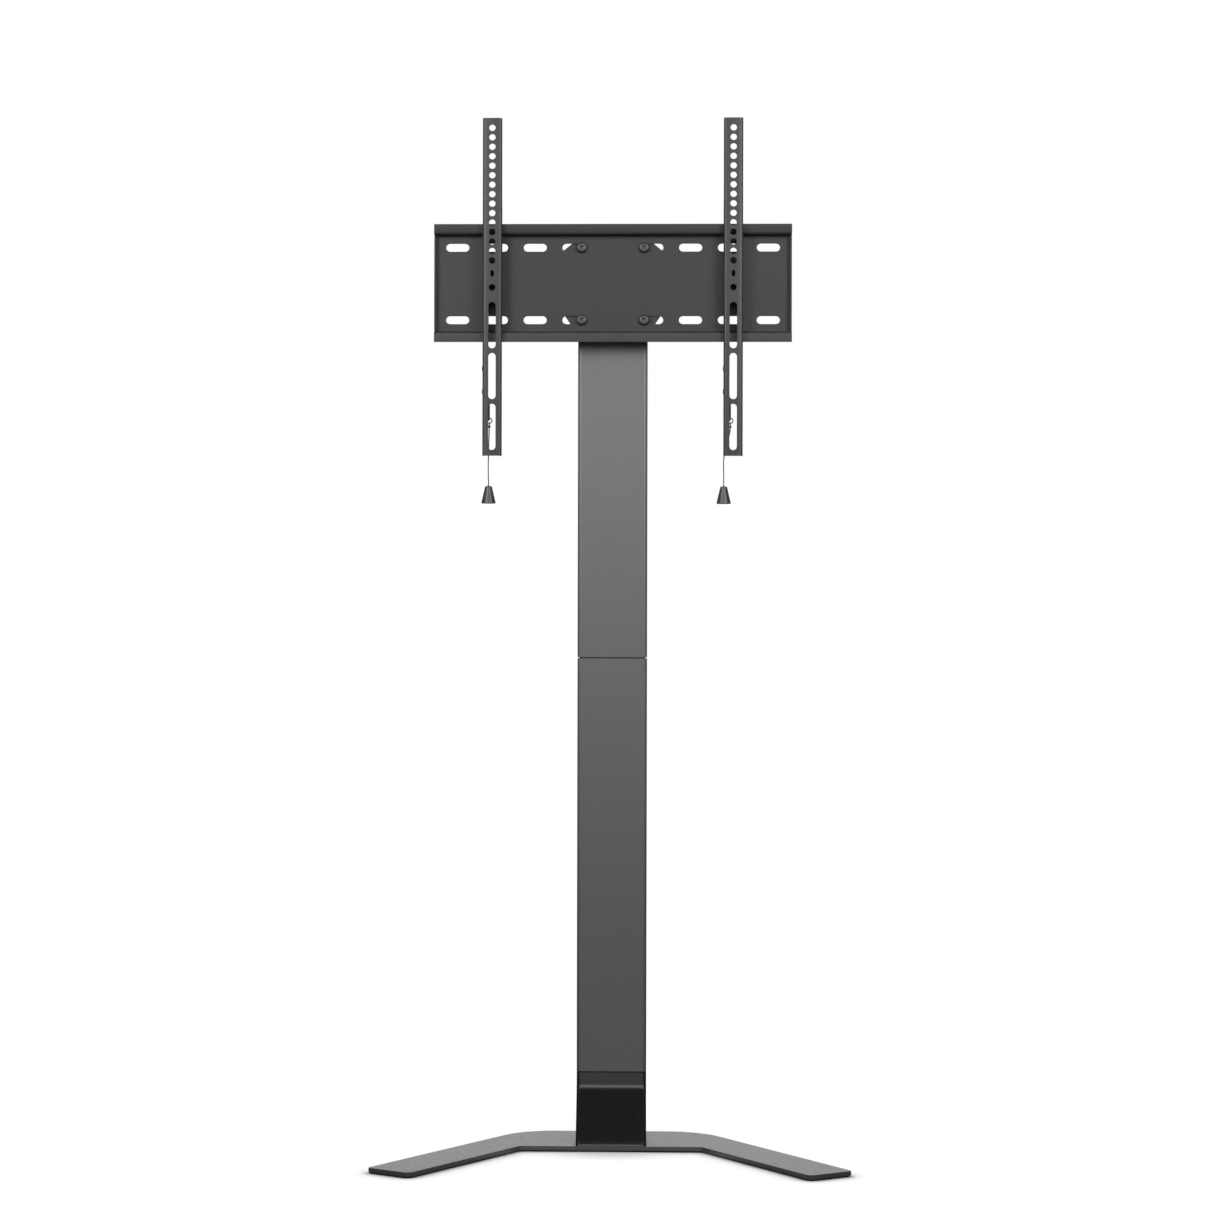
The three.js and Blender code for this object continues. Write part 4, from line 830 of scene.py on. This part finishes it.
def rod(path, radius, sides):
    """A round bar along a path: each ring is radius * (cos a * side + sin a * lift), where side is
    carried from ring to ring with the least twist. Ends are closed by two smaller rings."""
    path = np.asarray(path, float)
    ahead = np.gradient(path, axis=0)
    ahead /= np.linalg.norm(ahead, axis=1, keepdims=True)
    side = np.empty_like(path)
    side[0] = np.cross(ahead[0], LEANING if abs(ahead[0][2]) < STEEP else LYING)
    for i in range(1, len(path)):
        side[i] = side[i - 1] - ahead[i] * (side[i - 1] @ ahead[i])
    side /= np.linalg.norm(side, axis=1, keepdims=True)
    lift = np.cross(ahead, side)
    bulge = radius * END_BULGE
    path = np.vstack(
        [
            path[0] - ahead[0] * bulge,
            path[0] - ahead[0] * bulge * END_STEP,
            path,
            path[-1] + ahead[-1] * bulge * END_STEP,
            path[-1] + ahead[-1] * bulge,
        ]
    )
    side = np.vstack([side[:1], side[:1], side, side[-1:], side[-1:]])
    lift = np.vstack([lift[:1], lift[:1], lift, lift[-1:], lift[-1:]])
    size = np.concatenate([[0, END_SIZE], np.ones(len(path) - 4), [END_SIZE, 0]])[:, None, None] * radius
    angle = np.linspace(0, 2 * math.pi, sides, endpoint=False)[None, :, None]
    rings = path[:, None] + size * (np.cos(angle) * side[:, None] + np.sin(angle) * lift[:, None])
    return rings.reshape(-1, 3), quads(len(path), sides).tolist()


for hand in ("left", "right"):
    low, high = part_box(f"latch_spring_{hand}")
    middle = (low + high) / 2
    coil_low, coil_high = low.z + SPRING_LEAD, high.z - SPRING_LEAD
    turn = np.linspace(0, SPRING_TURNS, SPRING_TURNS * SPRING_STEPS + 1)
    coil = np.column_stack(
        [
            middle.x + SPRING_RADIUS * np.cos(2 * math.pi * turn),
            middle.y + SPRING_RADIUS * np.sin(2 * math.pi * turn),
            coil_low + (coil_high - coil_low) * turn / SPRING_TURNS,
        ]
    )
    bottom = np.array(SPRING_HOOK) + (0, 0, low.z)
    top = bottom[::-1] * (1, -1, 1)
    top[:, 2] = high.z + low.z - top[:, 2]
    shift = (middle.x, middle.y, 0)
    path = smooth_path(np.vstack([bottom + shift, coil[::PATH_STEPS], top + shift]), PATH_STEPS)
    body = rod(path, SPRING_WIRE, SPRING_SIDES)
    wire = new_piece(f"latch_coil_{hand}", *body, spring_steel, smooth_angle=60)
    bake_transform(wire)
    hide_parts(f"latch_spring_{hand}")


# Pull cords: a black wire ring through each latch's tab, a 1.5 mm braided nylon cord looped and
# knotted on it, 81 and 83 mm down to the knob, and a hollow moulded knob that the cord enters.
CORD_RADIUS, KNOB_GAP, RING_GAP = 0.00075, 0.0003, 0.0003
CORD_STEPS, CORD_SIDES, RAIL_REACH = 12, 14, 0.012
# Each route: sideways from the arm's middle, ahead of the plate's web and down from the top. Its
# first two points hang in line with the ring.
CORD_ROUTES = {
    "left": [
        (0, 0.016, 0),
        (0, 0.016, 0.005),
        (-0.0038, 0.0156, 0.013),
        (-0.0042, 0.015, 0.023),
        (-0.0045, 0.0146, 0.035),
        (-0.0048, 0.0143, 0.047),
        (-0.0049, 0.0142, 0.057),
        (-0.0047, 0.0142, 0.068),
        (-0.0045, 0.0142, 0.075),
        (-0.0045, 0.0142, 0.081 - KNOB_GAP),
    ],
    "right": [
        (0, 0.016, 0),
        (0, 0.016, 0.005),
        (-0.0044, 0.0146, 0.012),
        (-0.0062, 0.0122, 0.020),
        (-0.0082, 0.0096, 0.028),
        (-0.0103, 0.0085, 0.036),
        (-0.0117, 0.0084, 0.044),
        (-0.012, 0.0084, 0.055),
        (-0.0119, 0.0084, 0.067),
        (-0.0118, 0.0084, 0.074),
        (-0.0118, 0.0084, 0.081 - KNOB_GAP),
    ],
}


# Braid tones: painted shade where the strands dip and a painted highlight where they stand up.
BRAID_HEIGHTS, BRAID_SHADE_TONES = (-0.2, 1.0), (0.45, 1.15)
BRAID_ROUGHNESS, BRAID_SHEEN, BRAID_DEPTH = 0.6, 0.2, 0.00012


def braid(name, color, strands, pitch):
    """Two sets of strands that cross: the height is the larger of sin(strands * around + along) and
    sin(strands * around - along), with the length measured in pitches of the braid. The colour follows
    the height, as painted shade in the hollows and a painted highlight on the crests."""
    made = bpy.data.materials.new(name)
    tree = new_tree(made)
    at = node(tree, "ShaderNodeTexCoord", output="UV")
    u, v, _ = outputs(node(tree, "ShaderNodeSeparateXYZ", {}, {0: at}))
    around, along = u * (2 * math.pi * strands), v * (2 * math.pi / pitch)
    one = node(tree, "ShaderNodeMath", {"operation": "SINE"}, {0: around + along})
    other = node(tree, "ShaderNodeMath", {"operation": "SINE"}, {0: around - along})
    height = node(tree, "ShaderNodeMath", {"operation": "MAXIMUM"}, {0: one, 1: other})
    # Painted shade and highlight: the colour darkens in the hollows and lightens on the crests.
    tint = toned(tree, color, smooth(height, *BRAID_HEIGHTS, *BRAID_SHADE_TONES))
    finish(tree, tint, BRAID_ROUGHNESS, height, BRAID_DEPTH, {"Sheen Weight": BRAID_SHEEN})
    return made


def wrap(made, path, sides):
    """Gives a rod its own map: once around it in u, and its length in metres in v."""
    path = np.asarray(path, float)
    along = np.concatenate([[0], np.cumsum(np.linalg.norm(np.diff(path, axis=0), axis=1))])
    along = np.concatenate([[0, 0], along, [along[-1]] * 2])
    ring, k = np.divmod(np.arange((len(along) - 1) * sides), sides)
    u = np.stack([k, k + 1, k + 1, k], 1) / sides
    v = np.stack([along[ring], along[ring], along[ring + 1], along[ring + 1]], 1)
    made.data.uv_layers.new(name="wrap").data.foreach_set("uv", np.stack([u, v], 2).ravel())


CORD_BLACK = (0.085, 0.085, 0.087, 1)
KNOT_BLACK = (0.075, 0.075, 0.077, 1)
KNOB_BLACK = (0.026, 0.026, 0.027, 1)
cord_braid = braid("cord_braid", CORD_BLACK, strands=4, pitch=0.0016)
knot_nylon = moulding("knot_nylon", KNOT_BLACK, roughness=0.62, grain=0.0002, depth=0.00005)
knob_plastic = moulding("knob_plastic", KNOB_BLACK, roughness=0.42, grain=0.0012, depth=0.00002)
RING_SIDES, RING_STEPS = 14, 48
# The loop over the ring's wire: its reach sideways, back and up, and the drop of its middle. The
# tie is a trefoil, sin t + 2 sin 2t by sin 3t by cos t - 2 cos 2t, with a size for each axis and a
# gap where the cut end comes out.
LOOP_REACH, LOOP_DROP, LOOP_STEPS = (0.0002, 0.0017, 0.0027), 0.0010, 41
TIE_SIZE, TIE_DROP, TIE_ENDS, TIE_STEPS = (0.00042, 0.0006, 0.00045), 0.0040, (0.3, 2 * math.pi - 0.1), 61
TAIL = (
    (-0.0003, -0.0006, -0.0042),
    (-0.0015, -0.0009, -0.0050),
    (-0.0026, -0.0004, -0.0068),
    (-0.0030, 0.0002, -0.0086),
)
TAIL_STEPS, KNOT_SHARE, KNOT_SIDES = 6, 0.9, 10
# The knob: insets from its widest radius at heights above its lower end, and the same for its
# hollow, measured down from the top. The cord enters a bore in the lip.
KNOB_SKIRT = ((0.0016, 0.0004), (0.0012, 0), (0.0004, 0), (0, 0.0004), (0.0003, 0.0016))
KNOB_HOLLOW = ((0.0034, -0.0155), (0.0026, -0.0160))
KNOB_TOP, KNOB_ROUND, KNOB_LIP, KNOB_SIDES = 0.0046, 0.0010, 0.0009, 48
BORE_GAP, BORE_EDGE, BORE_FLOOR = 0.0001, 0.0002, -0.002
LIP_FOOT = ((0.0020, 0), (0.0016, 0.0002), (0.0014, KNOB_LIP))
web_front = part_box("wall_plate")[0].y + RAIL_REACH
for hand in ("left", "right"):
    low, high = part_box(f"pull_ring_{hand}")
    middle = (low + high) / 2
    wire = (high.y - low.y) / 2
    mean = (high.z - low.z) / 2 - wire
    arc = np.linspace(0, 2 * math.pi, RING_SIDES, endpoint=False)
    section = np.column_stack([mean + wire * np.cos(arc), wire * np.sin(arc)])
    body = turned(section, middle, "-Y", RING_STEPS, closed=True)
    ring = merged(f"ring_{hand}", [body], black_oxide, smooth_angle=60)
    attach(ring, f"latch_{hand}")
    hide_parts(f"pull_ring_{hand}")

    arm_low, arm_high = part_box(f"arm_{hand}")
    starts = [middle.x] * 2 + [(arm_low.x + arm_high.x) / 2] * (len(CORD_ROUTES[hand]) - 2)
    route = [
        (start + x, web_front - ahead, low.z - RING_GAP - drop)
        for start, (x, ahead, drop) in zip(starts, CORD_ROUTES[hand])
    ]
    path = smooth_path(route, CORD_STEPS)
    cord = new_piece(f"cord_{hand}", *rod(path, CORD_RADIUS, CORD_SIDES), cord_braid, smooth_angle=60)
    wrap(cord, path, CORD_SIDES)
    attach(cord, f"latch_{hand}")
    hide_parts(f"pull_cord_{hand}")

    # A loop over the ring's wire, the knot under it and the cord's short cut end.
    knot_at = np.array((middle.x, middle.y, low.z))
    turn = np.linspace(0, 2 * math.pi, LOOP_STEPS)
    loop = np.column_stack([np.sin(turn), np.sin(turn), np.cos(turn)]) * LOOP_REACH - (0, 0, LOOP_DROP)
    turn = np.linspace(*TIE_ENDS, TIE_STEPS)
    tie = np.column_stack(
        [np.sin(turn) + 2 * np.sin(2 * turn), np.sin(3 * turn), np.cos(turn) - 2 * np.cos(2 * turn)]
    )
    tie = tie * TIE_SIZE - (0, 0, TIE_DROP)
    lines = (loop, tie, smooth_path(TAIL, TAIL_STEPS))
    parts = [rod(line + knot_at, CORD_RADIUS * KNOT_SHARE, KNOT_SIDES) for line in lines]
    knot = merged(f"knot_{hand}", parts, knot_nylon, smooth_angle=60)
    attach(knot, f"latch_{hand}")

    low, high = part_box(f"pull_knob_{hand}")
    middle = (low + high) / 2
    wide, tall = (high.x - low.x) / 2, high.z - low.z
    hole = CORD_RADIUS + BORE_GAP
    rows = [(0, KNOB_HOLLOW[0][1]), *((wide - inwards, z) for inwards, z in KNOB_HOLLOW)]
    rows += [(wide - inwards, up - tall) for inwards, up in KNOB_SKIRT]
    rows += [
        (KNOB_TOP + KNOB_ROUND * (math.cos(a) - 1), KNOB_ROUND * (math.sin(a) - 1)) for a in QUARTER
    ]
    rows += [*LIP_FOOT, (hole + BORE_EDGE, KNOB_LIP), (hole, KNOB_LIP - BORE_EDGE)]
    rows += [(hole, BORE_FLOOR), (0, BORE_FLOOR)]
    at = (middle.x, middle.y, high.z)
    knob = merged(f"knob_{hand}", [turned(rows, at, sides=KNOB_SIDES)], knob_plastic)
    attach(knob, f"latch_{hand}")
    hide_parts(f"pull_knob_{hand}")
